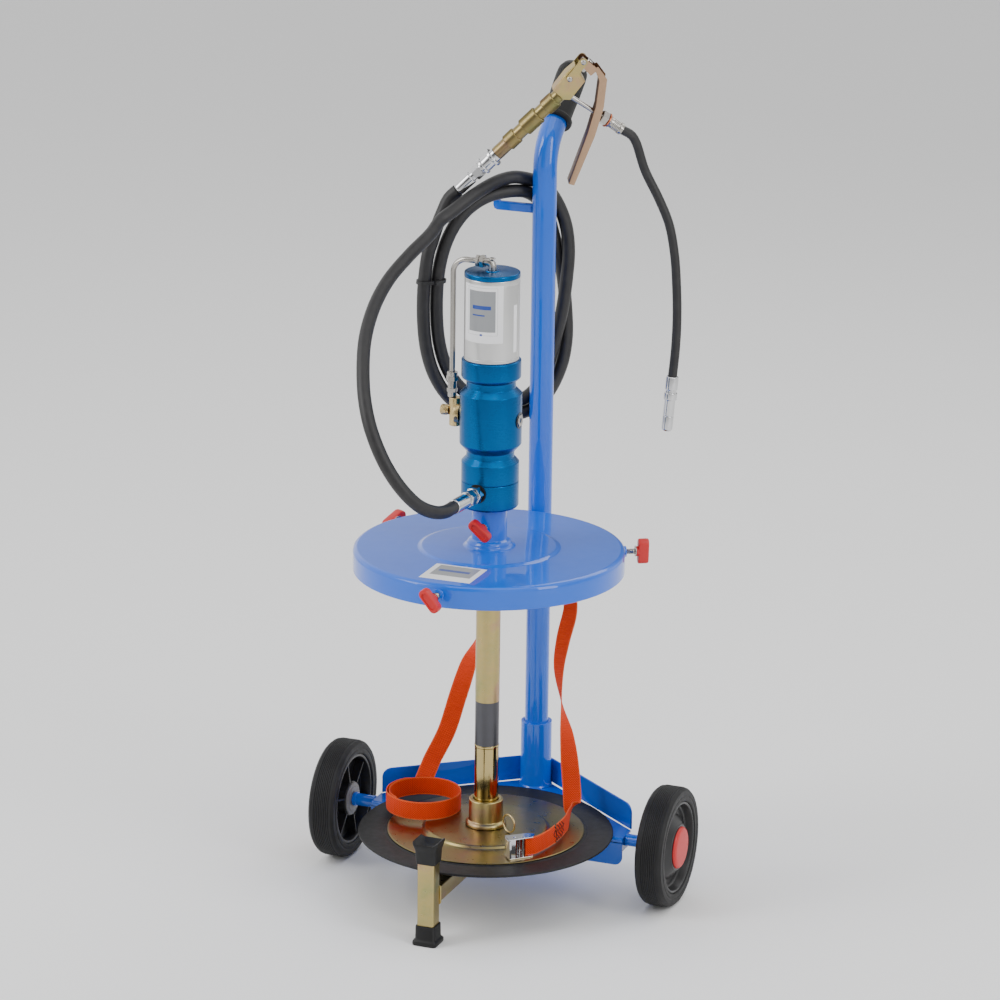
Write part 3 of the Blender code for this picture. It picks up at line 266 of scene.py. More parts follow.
def moulded(name, colour, low, high, grain=900.0, strength=0.12):
    s = Shade(name, colour, 0.0, low, Specular_IOR_Level=0.5)
    deep = tuple(c * 0.8 for c in colour)
    s.colour(s.mix(s.noise(25.0, 3.0), colour, deep))
    s.rough(s.noise(200.0, 3.0), low, high)
    s.bump(s.noise(grain, 2.0), strength, 0.0003)
    return s.made


def webbing():
    """Orange webbing: cross ribs along its length, a fine diagonal in each, and paler bound edges."""
    s = Shade(
        "orange_webbing", (0.72, 0.075, 0.015), 0.0, 0.8, Sheen_Weight=0.06, Sheen_Roughness=0.4,
        Specular_IOR_Level=0.15
    )
    uv = s.node("ShaderNodeUVMap").outputs["UV"]
    parts = s.node("ShaderNodeSeparateXYZ")
    s.link(uv, parts.inputs[0])
    across, along = parts.outputs["X"], parts.outputs["Y"]
    rib = s.maths("SINE", s.maths("MULTIPLY", along, 2 * math.pi / 0.0036))
    yarn = s.maths("SINE", s.maths("MULTIPLY", across, 2 * math.pi / 0.0034))
    cell = s.maths("MULTIPLY", rib, yarn)
    height = s.maths("ADD", s.maths("MULTIPLY", rib, 0.35), s.maths("MULTIPLY", cell, 0.25))
    edge = s.maths("ABSOLUTE", s.maths("SUBTRACT", across, 0.0135))
    bound = s.maths("GREATER_THAN", edge, 0.0118)
    worn = s.noise(50.0, 5.0)
    base = s.mix(worn, (0.74, 0.040, 0.004), (0.88, 0.062, 0.007))
    ribbed = s.mix(s.maths("MULTIPLY_ADD", cell, 0.60, 0.35), base, (0.38, 0.030, 0.008))
    s.colour(s.mix(s.maths("MULTIPLY", bound, 0.5), ribbed, (0.92, 0.16, 0.04)))
    s.rough(worn, 0.70, 0.90)
    s.bump(height, 0.9, 0.0006)
    return s.made


def printed(name, colour):
    s = Shade(name, colour, 0.0, 0.35, Coat_Weight=0.5, Coat_Roughness=0.15)
    s.colour(s.mix(s.noise(30.0, 3.0), colour, tuple(c * 0.93 for c in colour)))
    s.rough(s.noise(150.0, 3.0), 0.28, 0.42)
    s.bump(s.noise(500.0, 2.0), 0.05, 0.0003)
    return s.made


UP = (0, 0, 1)
BLUE = blue_paint()
ANODISED = turned_metal(
    "blue_anodised", (0.001, 0.080, 0.250), (0.002, 0.110, 0.310), 0.92, 0.20, 0.36, UP, 900.0
)
SATIN = turned_metal("satin_aluminium", (0.66, 0.66, 0.65), (0.58, 0.58, 0.57), 1.0, 0.24, 0.40, UP, 700.0)
STEEL = plain_metal("stainless_steel", (0.44, 0.42, 0.39), 0.14, 0.32)
CHROME = plain_metal("chrome_plate", (0.66, 0.66, 0.67), 0.05, 0.14, 300.0)
ZINC = yellow_zinc("yellow_passivated_zinc")
DULL_ZINC = yellow_zinc("dull_passivated_zinc", 0.58)
BRASS = plain_metal("machined_brass", (0.66, 0.50, 0.24), 0.20, 0.38)
COPPER = plain_metal("copper_washer", (0.62, 0.20, 0.10), 0.25, 0.45)
# Dark steel for the tube's dark band; also used as painted shade in the plug recess and the valve port.
DARK_AND_SHADE = plain_metal("dark_steel_and_painted_shade", (0.10, 0.10, 0.11), 0.25, 0.45)
RUBBER = rubber("black_rubber", (0.007, 0.007, 0.0072), 0.42, 0.60, 800.0)
TYRE = rubber("tyre_rubber", (0.008, 0.008, 0.0085), 0.45, 0.65, 500.0, 0.35)
HOSE = hose_rubber()
PLASTIC = moulded("black_plastic", (0.012, 0.012, 0.013), 0.28, 0.45, 1200.0, 0.20)
GREY = moulded("grey_plastic", (0.17, 0.17, 0.175), 0.40, 0.55)
RED = moulded("red_plastic", (0.60, 0.012, 0.012), 0.36, 0.50, 1400.0, 0.10)
WEBBING = webbing()
THREAD = moulded("black_thread", (0.012, 0.012, 0.012), 0.60, 0.80, 3000.0, 0.4)
WHITE_LABEL = printed("white_label", (0.86, 0.86, 0.87))
GREY_LABEL = printed("grey_label", (0.26, 0.27, 0.28))
BLUE_LABEL = printed("blue_label", (0.004, 0.045, 0.300))
IRIDESCENT = plain_metal("iridescent_zinc", (0.46, 0.30, 0.19), 0.22, 0.40, 200.0)
# Dark brown used as painted shade on the lever channel's shaded faces, not a real browned finish.
CHANNEL_SHADE_BROWN = plain_metal("painted_shade_brown_zinc", (0.16, 0.075, 0.035), 0.28, 0.45, 200.0)
POLISHED = plain_metal("polished_zinc", (0.50, 0.39, 0.17), 0.06, 0.16, 300.0)


# ---------------------------------------------------------------- making pieces
def settle(obj, body, nodes):
    """Puts a finished piece on its body and the CAD nodes it stands for."""
    bpy.context.scene.collection.objects.link(obj)
    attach(obj, body)
    if nodes:
        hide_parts(*nodes)
    return obj


def piece(bm, name, stuff, body="trolley", nodes=(), smooth=32, matrix=None, slot=None):
    bmesh.ops.remove_doubles(bm, verts=bm.verts, dist=1e-6)
    bmesh.ops.recalc_face_normals(bm, faces=bm.faces)
    if matrix is not None:
        bm.transform(matrix)
    mesh = bpy.data.meshes.new(name)
    bm.to_mesh(mesh)
    bm.free()
    mesh.shade_smooth()
    mesh.set_sharp_from_angle(angle=math.radians(smooth))
    mesh.materials.append(stuff)
    return settle(bpy.data.objects.new(name, mesh), body, nodes)


def facing(origin, direction):
    """A placing that turns +Z to a direction."""
    return Matrix.Translation(origin) @ Vector(direction).to_track_quat("Z", "Y").to_matrix().to_4x4()


def upright(place):
    """A placing that stands a flat outline up on edge."""
    return Matrix.Translation(place) @ Matrix.Rotation(math.pi / 2, 4, "X")


def rounded(profile, radius, steps=3):
    """The closed outline with each corner off the axis replaced by a small arc."""
    points = [Vector(p) for p in profile]
    out = []
    for i, here in enumerate(points):
        before, after = points[i - 1], points[(i + 1) % len(points)]
        if here.x <= 0 or (here - before).length < 1e-7 or (here - after).length < 1e-7:
            out.append(here)
            continue
        a, b = (before - here), (after - here)
        reach = min(radius, 0.45 * a.length, 0.45 * b.length)
        a.normalize()
        b.normalize()
        if a.dot(b) < -0.995:
            out.append(here)
            continue
        for k in range(steps + 1):
            t = k / steps
            first = here + a * reach * (1 - t)
            second = here + b * reach * t
            out.append(first.lerp(second, t))
    return out


def turned(profile, steps=96, soft=0.0004, ripple=None):
    """A closed (radius, height) outline turned about +Z, its corners softened.

    ripple is (count, depth, low, high): teeth round the part between two heights."""
    outline = rounded(profile, soft) if soft else [Vector(p) for p in profile]
    bm = bmesh.new()
    rows = []
    for i in range(steps):
        a = 2 * math.pi * i / steps
        row = []
        for p in outline:
            r = p.x
            if ripple and ripple[2] < p.y < ripple[3] and r > 0:
                r -= ripple[1] * (0.5 + 0.5 * math.cos(ripple[0] * a))
            row.append(bm.verts.new((r * math.cos(a), r * math.sin(a), p.y)))
        rows.append(row)
    for i in range(steps):
        one, two = rows[i - 1], rows[i]
        for k in range(len(outline)):
            corners = [one[k - 1], one[k], two[k], two[k - 1]]
            if outline[k - 1].x <= 0 and outline[k].x <= 0:
                continue
            if outline[k].x <= 0:
                corners = [one[k - 1], one[k], two[k - 1]]
            elif outline[k - 1].x <= 0:
                corners = [one[k - 1], one[k], two[k]]
            bm.faces.new(corners)
    return bm


def lathe(name, stuff, profile, origin, direction=UP, steps=96, soft=0.0004, **goes):
    """A turned piece that stands on its origin and points in a direction."""
    return piece(turned(profile, steps, soft), name, stuff, matrix=facing(origin, direction), **goes)


def sleeve(outer, inner, low, high, steps=48, soft=0.0004):
    """A plain ring between two heights, or a solid disc where the inner radius is 0."""
    return turned([(outer, high), (outer, low), (inner, low), (inner, high)], steps, soft)


def oblong(left, right, low, high):
    return [(left, low), (right, low), (right, high), (left, high)]


def add(bm, other):
    """Puts one mesh's faces into another as they are."""
    mesh = bpy.data.meshes.new("part")
    other.to_mesh(mesh)
    other.free()
    bm.from_mesh(mesh)
    bpy.data.meshes.remove(mesh)
    return bm


def hexagon(radius, low, high, turn=0.0):
    """A nut: six flats with its end corners turned away."""
    cut = radius * 0.12
    flat = [
        (0, high), (radius - cut, high), (radius, high - cut * 0.5), (radius, low + cut * 0.5),
        (radius - cut, low), (0, low),
    ]
    bm = turned(flat, 6, 0)
    bmesh.ops.remove_doubles(bm, verts=bm.verts, dist=1e-6)
    bmesh.ops.bevel(
        bm, geom=bm.edges[:], offset=radius * 0.035, segments=2, affect="EDGES", clamp_overlap=True
    )
    bm.transform(Matrix.Rotation(math.radians(turn), 4, "Z"))
    return bm


def plate(outline, low, high, soft=0.0005, segments=2):
    """A flat outline in XY between two heights, its edges softened."""
    bm = bmesh.new()
    loops = [[bm.verts.new((x, y, z)) for x, y in outline] for z in (low, high)]
    for i in range(len(outline)):
        bm.faces.new((loops[0][i - 1], loops[0][i], loops[1][i], loops[1][i - 1]))
    bm.faces.new(loops[0])
    bm.faces.new(loops[1])
    bmesh.ops.recalc_face_normals(bm, faces=bm.faces)
    if soft:
        rims = [e for e in bm.edges if abs(e.verts[0].co.z - e.verts[1].co.z) < 1e-9]
        bmesh.ops.bevel(bm, geom=rims, offset=soft, segments=segments, affect="EDGES", clamp_overlap=True)
    return bm


def arc(centre, radius, start, end, count=8):
    angles = [math.radians(start + (end - start) * i / count) for i in range(count + 1)]
    return [(centre[0] + radius * math.cos(a), centre[1] + radius * math.sin(a)) for a in angles]


def frames_along(points):
    """For each point, the way along the path and two directions square to it."""
    points = [Vector(p) for p in points]
    across = None
    out = []
    for i, point in enumerate(points):
        tangent = (points[min(i + 1, len(points) - 1)] - points[max(i - 1, 0)]).normalized()
        if across is None:
            across = tangent.orthogonal()
        across = (across - across.dot(tangent) * tangent).normalized()
        out.append((point, tangent, across, tangent.cross(across)))
    return out


def tube(path, radius, sides=24, bore=0.0):
    """A round bar along a path, or a pipe where it has a bore."""
    bm = bmesh.new()
    stops = frames_along(path)

    def ring(stop, r):
        point, _, a, b = stop
        angles = [2 * math.pi * i / sides for i in range(sides)]
        return [bm.verts.new(point + r * (math.cos(t) * a + math.sin(t) * b)) for t in angles]

    rows = [ring(stop, radius) for stop in stops]
    if bore:
        rows += [ring(stop, bore) for stop in reversed(stops)]
    pairs = list(zip(rows, rows[1:])) + ([(rows[-1], rows[0])] if bore else [])
    for one, two in pairs:
        for i in range(sides):
            bm.faces.new((one[i - 1], one[i], two[i], two[i - 1]))
    if not bore:
        bm.faces.new(rows[0])
        bm.faces.new(rows[-1])
    return bm


def smooth_path(route, spacing):
    """Evenly spaced points on a centripetal Catmull-Rom curve through the route's points."""
    route = [Vector(p) for p in route]
    ends = [2 * route[0] - route[1]] + route + [2 * route[-1] - route[-2]]
    fine = []
    for p0, p1, p2, p3 in zip(ends, ends[1:], ends[2:], ends[3:]):
        t1 = (p1 - p0).length ** 0.5
        t2 = t1 + (p2 - p1).length ** 0.5
        t3 = t2 + (p3 - p2).length ** 0.5
        for step in range(16):
            t = t1 + (t2 - t1) * step / 16
            a1 = p0.lerp(p1, t / t1)
            a2 = p1.lerp(p2, (t - t1) / (t2 - t1))
            a3 = p2.lerp(p3, (t - t2) / (t3 - t2))
            b1, b2 = a1.lerp(a2, t / t2), a2.lerp(a3, (t - t1) / (t3 - t1))
            fine.append(b1.lerp(b2, (t - t1) / (t2 - t1)))
    fine.append(route[-1])
    total = sum((b - a).length for a, b in zip(fine, fine[1:]))
    count = max(2, round(total / spacing))
    out = [fine[0]]
    run = 0.0
    for a, b in zip(fine, fine[1:]):
        length = (b - a).length
        while run + length >= len(out) * total / count - 1e-9 and len(out) < count:
            out.append(a.lerp(b, (len(out) * total / count - run) / length))
        run += length
    out.append(fine[-1])
    return out


def hose(name, route, radius, spacing, nodes):
    """A solid hose as a round curve on its centreline."""
    points = smooth_path(route, spacing)
    curve = bpy.data.curves.new(name, "CURVE")
    curve.dimensions = "3D"
    curve.bevel_depth = radius
    curve.bevel_resolution = 6
    curve.use_fill_caps = True
    spline = curve.splines.new("POLY")
    spline.points.add(len(points) - 1)
    for target, point in zip(spline.points, points):
        target.co = (*point, 1)
    spline.use_smooth = True
    curve.materials.append(HOSE)
    return settle(bpy.data.objects.new(name, curve), "trolley", nodes)


# ---------------------------------------------------------------- hoses
HOSE_R = 0.0095
WHIP_R = 0.0067
OUTLET_ANGLE = math.radians(-95)
OUTLET = Vector((math.cos(OUTLET_ANGLE), math.sin(OUTLET_ANGLE), 0))
OUTLET_Z = 0.6165
FITTING_END = 0.1145
COIL_CENTRE = at(-0.0507, 0.2093, 0.8400)
COIL_ACROSS = Vector((1, 1, 0)).normalized()
COIL_FACING = Vector((1, -1, 0)).normalized()
COIL_INNER = (0.1183, 0.0733, 0.1573)  # half widths left and right, half height, of the inner strand
COIL_OUTER = (0.1390, 0.0945, 0.1772)
COIL_SHAPE = 2.4
COIL_APART = 0.0101  # how far each strand leans out of the coil's plane where they cross

GUN_TAIL = at(-0.1106, 0.1450, 1.0062)
GUN_HEAD = at(0.0498, 0.1850, 1.1720)
GUN_X = (GUN_HEAD - GUN_TAIL).normalized()
GUN_TRIGGER = Vector((0.580, 0.460, -0.672))
GUN_Y = (GUN_TRIGGER - GUN_TRIGGER.dot(GUN_X) * GUN_X).normalized()
GUN_OUTLET = Vector((-0.0218, 0.0132, 0))
GUN_OUTLET_RUN = Vector((0.0062, 0.0400, 0)).normalized()
GUN_OUTLET_LENGTH = 0.0920


def in_coil(across, depth, z):
    """A point by its place in the coil's upright plane and how far it stands in front of it."""
    return COIL_CENTRE + COIL_ACROSS * across + COIL_FACING * depth + Vector((0, 0, z - COIL_CENTRE.z))


def coil_strand(degrees, share, depth):
    """A point of the coil: share 0 is its inner strand and 1 its outer."""
    c, s = math.cos(math.radians(degrees)), math.sin(math.radians(degrees))
    left, right, tall = [low + (high - low) * share for low, high in zip(COIL_INNER, COIL_OUTER)]
    across = math.copysign(abs(c) ** (2 / COIL_SHAPE), c) * (right if c > 0 else left)
    up = math.copysign(abs(s) ** (2 / COIL_SHAPE), s) * tall
    return in_coil(across, depth, COIL_CENTRE.z + up)


def coil_points():
    """One and three quarter turns, clockwise: outside to inside, and back out for the handset.

    On the right the strands change places and lean apart to pass each other."""
    points = []
    for degrees in range(66, -556, -12):
        turns, place = divmod(66 - degrees, 360)
        t = min(1.0, max(0.0, (place - 20) / 76))
        t = t ** 3 * (t * (6 * t - 15) + 10)
        lean = COIL_APART * 2 * math.sqrt(t * (1 - t))
        share, depth = (1 - t, lean) if turns == 0 else (t, -lean)
        points.append(coil_strand(degrees, share, depth))
    return points


def gun_point(along, across, side=0.0):
    """A point on the handset: along its barrel from the head, across it, and to the side."""
    return GUN_HEAD + along * GUN_X + across * GUN_Y + side * GUN_X.cross(GUN_Y)


def long_hose():
    """The whole long hose: pump outlet, coil on the hook, handset."""
    start = at(*(OUTLET * (FITTING_END + GAP))) + Vector((0, 0, OUTLET_Z))
    route = [start, start + OUTLET * 0.012, start + OUTLET * 0.023]
    route += [at(*p) for p in (
        (-0.0200, -0.1560, 0.6195), (-0.0345, -0.1775, 0.6320), (-0.0540, -0.1920, 0.6563),
        (-0.0771, -0.1980, 0.6912), (-0.1021, -0.1900, 0.7349), (-0.1198, -0.1720, 0.7704),
        (-0.1343, -0.1450, 0.8045), (-0.1471, -0.1080, 0.8422), (-0.1523, -0.0650, 0.8769),
        (-0.1495, -0.0200, 0.9065), (-0.1368, 0.0280, 0.9340), (-0.1229, 0.0720, 0.9563),
        (-0.1183, 0.1000, 0.9711),
    )]
    route += [in_coil(*p) for p in (
        (-0.1055, 0.0265, 0.9820), (-0.0884, 0.0230, 0.9915), (-0.0705, 0.0180, 1.0000),
        (-0.0521, 0.0120, 1.0070), (-0.0332, 0.0060, 1.0128), (-0.0150, 0.0015, 1.0163),
        (0.0050, 0.0, 1.0172),
    )]
    route += coil_points()
    route += [in_coil(*p) for p in (
        (-0.1318, 0.0, 0.9170), (-0.1262, 0.0, 0.9330), (-0.1190, -0.0010, 0.9530),
        (-0.1100, -0.0020, 0.9730),
    )]
    route += [GUN_TAIL - GUN_X * 0.018, GUN_TAIL - GUN_X * 2 * GAP]
    made = hose("long_hose", route, HOSE_R, 0.006, ["delivery_hose", "hose_coil", "gun_hose"])


def whip_hose():
    tip = GUN_OUTLET + GUN_OUTLET_RUN * (GUN_OUTLET_LENGTH + GAP)
    after = tip + GUN_OUTLET_RUN * 0.020
    start = gun_point(tip.x, tip.y)
    route = [start, gun_point(after.x, after.y)] + [at(*p) for p in (
        (0.1349, 0.2510, 1.0352), (0.1553, 0.2550, 0.9952), (0.1707, 0.2570, 0.9595),
        (0.1801, 0.2570, 0.9156), (0.1846, 0.2560, 0.8712), (0.1872, 0.2540, 0.8260),
        (0.1868, 0.2520, 0.7788), (0.1839, 0.2500, 0.7372),
    )]
    made = hose("short_hose", route, WHIP_R, 0.006, ["whip_hose"])
    return made, start, route[-1], (route[-1] - route[-2]).normalized()


long_hose()
WHIP, WHIP_START, WHIP_END, WHIP_DOWN = whip_hose()


# ---------------------------------------------------------------- trolley
WHEEL_R = 0.0875
WHEEL_W = 0.040
WHEEL_X = 0.2543
AXLE_Y = 0.068
AXLE_R = 0.009
PLATE_TOP = 0.0950
PLATE_T = 0.003
PLATE_FRONT = 0.050
PLATE_HALF = 0.197
APEX_Y = 0.2457
WING_SLOPE = 0.8
WING_H = 0.037
COLUMN_Y = 0.215
COLUMN_R = 0.0175
COLUMN_BEND_Z = 1.030
COLUMN_BEND_R = 0.070
HANDLE_RISE = math.radians(40)
LEG_Y = -0.209
TUBE_SIDE = 0.025
LEG_TOP = 0.142


def wheel(side, word):
    """One wheel on its stub: ribbed tyre, hub with six ribs, bush and red cap."""
    body = f"wheel_{word}"
    hub_x = at(side * WHEEL_X, AXLE_Y, WHEEL_R)
    out = (side, 0, 0)
    half = WHEEL_W / 2
    tread = []
    ribs = 9
    for i in range(ribs):
        low = -half + 0.0075 + i * (WHEEL_W - 0.015) / ribs
        high = low + (WHEEL_W - 0.015) / ribs
        tread += [(WHEEL_R - 0.0011, low + 0.0003), (WHEEL_R, low + 0.0007), (WHEEL_R, high - 0.0003)]
    tread += [(WHEEL_R - 0.0011, half - 0.0073)]
    tyre = [
        (0.0675, -half + 0.0015), (0.0675, half - 0.0015), (0.0690, half), (0.0735, half),
        (0.0742, half - 0.0005), (0.0760, half - 0.0005), (0.0767, half), (0.0830, half),
        (0.0865, half - 0.004),
    ]
    tyre += list(reversed(tread))
    tyre += [
        (0.0865, -half + 0.004), (0.0830, -half), (0.0767, -half), (0.0760, -half + 0.0005),
        (0.0742, -half + 0.0005), (0.0735, -half), (0.0690, -half),
    ]
    lathe(
        f"tyre_ribbed_{word}", TYRE, tyre, hub_x, out, 120, 0.0003, body=body,
        nodes=[f"tyre_{word}"],
    )
    rim = 0.0675 - GAP
    bore = 0.0150
    hub = [
        (rim, -half + 0.002), (rim, half - 0.002), (0.0650, half - 0.001), (0.0630, half - 0.002),
        (0.0605, 0.0075), (0.0580, 0.006), (0.0480, 0.007), (0.0345, half - 0.0022),
        (0.0335, half - 0.001), (bore, half - 0.001), (bore, -0.014), (0.0260, -0.014), (0.0260, -0.002),
        (0.0610, -0.002), (0.0630, -half + 0.002),
    ]
    bm = turned(hub, 96, 0.0010)
    for i in range(6):
        rib = plate(
            [(0.0270, -0.0015), (0.0612, -0.0011), (0.0612, 0.0011), (0.0270, 0.0015)], -0.0150, -0.0015
        )
        rib.transform(Matrix.Rotation(math.radians(60 * i + 15), 4, "Z"))
        add(bm, rib)
    piece(
        bm, f"hub_moulded_{word}", PLASTIC, body, [f"hub_{word}"],
        matrix=facing(hub_x, out),
    )
    bush = [
        (bore - GAP, half - 0.004), (AXLE_R + 0.0003, half - 0.004), (AXLE_R + 0.0003, -0.0180),
        (0.0185, -0.0180), (0.0190, -0.0172), (0.0240, -0.0168), (0.0245, -0.0160),
        (0.0245, -0.0140 - GAP), (bore - GAP, -0.0140 - GAP),
    ]
    lathe(f"bush_turned_{word}", GREY, bush, hub_x, out, 64, body=body, nodes=[f"bush_{word}"])
    face = half - 0.001 + GAP
    cap = [
        (0, face + 0.0050), (0.0120, face + 0.0050), (0.0250, face + 0.0047), (0.0285, face + 0.0038),
        (0.0300, face + 0.0022), (0.0305, face + 0.0012), (0.0308, face), (0, face),
    ]
    lathe(
        f"cap_domed_{word}", RED, cap, hub_x, out, 96, 0.0008, body=body,
        nodes=[f"wheel_cap_{word}"],
    )
    inner = WHEEL_X - side * FRAME_X - PLATE_HALF - GAP
    stub = [
        (0, half - 0.0045), (AXLE_R, half - 0.0045), (AXLE_R, -0.0185), (0.0105, -0.0185),
        (0.0105, -0.0235), (AXLE_R, -0.0235), (AXLE_R, -inner), (0, -inner),
    ]
    lathe(f"stub_{word}", BLUE, stub, hub_x, out, 48, nodes=[f"axle_{word}"])


def base_plate():
    wing_end = APEX_Y - WING_SLOPE * PLATE_HALF - 0.001
    outline = [
        (-PLATE_HALF, PLATE_FRONT + 0.003), (PLATE_HALF, PLATE_FRONT + 0.003), (PLATE_HALF, wing_end),
        (0.016, 0.230), (-0.016, 0.230), (-PLATE_HALF, wing_end),
    ]
    bm = plate(outline, PLATE_TOP - PLATE_T, PLATE_TOP, 0.0006)
    drop, bend, reach = 0.042, 0.004, PLATE_HALF - 0.0002
    inside = bend - PLATE_T

    def fold_point(radius, angle):
        return (PLATE_FRONT + bend - radius * math.cos(angle), PLATE_TOP - bend + radius * math.sin(angle))

    profile = [fold_point(inside, a) for a in (0, 0.8, 1.57)]
    profile += [fold_point(bend, a) for a in (1.57, 1.1, 0.6, 0.2, 0)]
    edge = PLATE_TOP - bend - 0.004
    profile += [(PLATE_FRONT, edge), (PLATE_FRONT + PLATE_T, edge)]
    lip = plate(profile, -reach, reach, 0)
    lip.transform(Matrix(((0, 0, 1, 0), (1, 0, 0, 0), (0, 1, 0, 0), (0, 0, 0, 1))))
    add(bm, lip)
    flange = [(-reach, drop - 0.006)] + arc((-reach + 0.012, 0.012), 0.012, 180, 270, 6)
    flange += arc((reach - 0.012, 0.012), 0.012, 270, 360, 6) + [(reach, drop - 0.006)]
    front = plate(flange, 0, PLATE_T, 0.0006)
    front.transform(upright((0, PLATE_FRONT + PLATE_T, PLATE_TOP - drop)))
    add(bm, front)
    for side in (-1, 1):
        outer_x, inner_x = side * (PLATE_HALF - 0.0004), side * (PLATE_HALF - 0.006)
        x0, x1 = min(outer_x, inner_x), max(outer_x, inner_x)
        cheek = oblong(x0, x1, PLATE_FRONT + 0.0015, AXLE_Y + 0.014)
        add(bm, plate(cheek, WHEEL_R - 0.014, PLATE_TOP - 0.0012, 0.0006))
    piece(
        bm, "base_plate_folded", BLUE, nodes=["base_plate"],
        matrix=Matrix.Translation(at(FRAME_X, 0, 0)),
    )


def rear_guard():
    """The V of sheet standing on the plate's rear edge."""
    length = math.hypot(PLATE_HALF, WING_SLOPE * PLATE_HALF)
    tilt = math.atan(WING_SLOPE)
    apex = (FRAME_X, APEX_Y + PLATE_T * math.hypot(1, WING_SLOPE), PLATE_TOP + GAP)
    bm = bmesh.new()
    for side in (-1, 1):
        outline = [(-0.0015, 0), (length, 0)] + arc((length - 0.014, WING_H - 0.014), 0.014, 0, 90, 8)
        outline += [(-0.0015, WING_H)]
        if side < 0:
            outline = [(-u, v) for u, v in reversed(outline)]
        wing = plate(outline, 0, PLATE_T, 0.0006)
        turn = Matrix.Rotation(-side * tilt, 4, "Z") @ Matrix.Rotation(math.pi / 2, 4, "X")
        wing.transform(Matrix.Translation(apex) @ turn)
        add(bm, wing)
    piece(bm, "rear_guard_bent", BLUE, nodes=["rear_guard"], matrix=HERE)


def column():
    socket = [
        (0.0230, 0.1005), (0.0230, 0.0030), (0.0246, 0.0010), (0.0250, 0), (COLUMN_R + GAP, 0),
        (COLUMN_R + GAP, 0.1005),
    ]
    lathe("socket", BLUE, socket, at(FRAME_X, COLUMN_Y, PLATE_TOP + GAP), nodes=["column_socket"])
    bend = math.pi / 2 - HANDLE_RISE
    path = [
        at(FRAME_X, COLUMN_Y, PLATE_TOP + 2 * GAP), at(FRAME_X, COLUMN_Y, 0.5),
        at(FRAME_X, COLUMN_Y, COLUMN_BEND_Z)
    ]
    for i in range(1, 25):
        a = bend * i / 24
        path.append(at(
            FRAME_X, COLUMN_Y + COLUMN_BEND_R * (1 - math.cos(a)),
            COLUMN_BEND_Z + COLUMN_BEND_R * math.sin(a),
        ))
    along = Vector((0, math.cos(HANDLE_RISE), math.sin(HANDLE_RISE)))
    end_of_bend = path[-1].copy()
    path.append(end_of_bend + along * 0.100)
    bm = tube(path, COLUMN_R, 64, COLUMN_R - 0.002)
    half, wall, back = 0.019, COLUMN_Y + COLUMN_R - 0.0012, COLUMN_Y + COLUMN_R + 0.0100
    eye = [(wall, half), (back - 0.004, half), (back - 0.001, half - 0.001), (back, half - 0.004)]
    eye += [(y, -z) for y, z in reversed(eye)]
    add(bm, tube([at(FRAME_X, y, 0.45 + z) for y, z in eye], 0.0025, 16))
    piece(bm, "column_tube", BLUE, nodes=["column"])

    profile = [
        (0, 0.108), (0.0100, 0.1068), (0.0175, 0.1020), (0.0215, 0.0940), (0.0225, 0.0840),
        (0.0222, 0.0600), (0.0212, 0.0300), (0.0208, 0.0110), (0.0212, 0.0080), (0.0243, 0.0066),
        (0.0245, 0.0040), (0.0238, 0.0010), (0.0225, 0), (COLUMN_R + GAP, 0), (COLUMN_R + GAP, 0.0855),
        (0, 0.0855),
    ]
    grip = turned(profile, 96, 0.0015, (32, 0.0007, 0.0150, 0.0900))
    piece(
        grip, "grip_moulded", RUBBER, nodes=["handle_grip"],
        matrix=facing(end_of_bend + along * 0.0155, along),
    )
    near = -COLUMN_R - GAP
    hook = [
        (near, -0.0125), (near, 0), (-0.0680, 0), (-0.0698, 0.0015), (-0.0705, 0.030), (-0.0735, 0.0375),
        (-0.0770, 0.0365), (-0.0775, -0.006), (-0.0760, -0.0105), (-0.0715, -0.0125),
    ]
    bm = plate(hook, 0, 0.010, 0.0014, 3)
    piece(
        bm, "hook_bar", BLUE, nodes=["hose_hook"], smooth=50,
        matrix=upright(at(FRAME_X, COLUMN_Y + 0.005, 0.9795)),
    )


def square_ring(half, z, radius, lift=0.0, count=5):
    """A square loop with round corners; lift raises its left and right sides."""
    points = []
    for corner_at in range(4):
        a = math.radians(90 * corner_at + 45)
        centre = Vector(
            (math.copysign(half - radius, math.cos(a)), math.copysign(half - radius, math.sin(a)))
        )
        for i in range(count + 1):
            t = math.radians(90 * corner_at + 90 * i / count)
            x, y = centre.x + radius * math.cos(t), centre.y + radius * math.sin(t)
            points.append((x, y, z + lift * abs(x / half) ** 2))
    return points


def through(loops, ring=False):
    """A skin over loops of points, with flat ends, or closed on itself as a ring."""
    bm = bmesh.new()
    rows = [[bm.verts.new(p) for p in loop] for loop in loops]
    pairs = list(zip(rows, rows[1:])) + ([(rows[-1], rows[0])] if ring else [])
    for low, high in pairs:
        for i in range(len(low)):
            bm.faces.new((low[i - 1], low[i], high[i], high[i - 1]))
    if not ring:
        bm.faces.new(rows[0])
        bm.faces.new(rows[-1])
    return bm


LEG_PLACE = Matrix.Translation(at(FRAME_X, LEG_Y, 0))


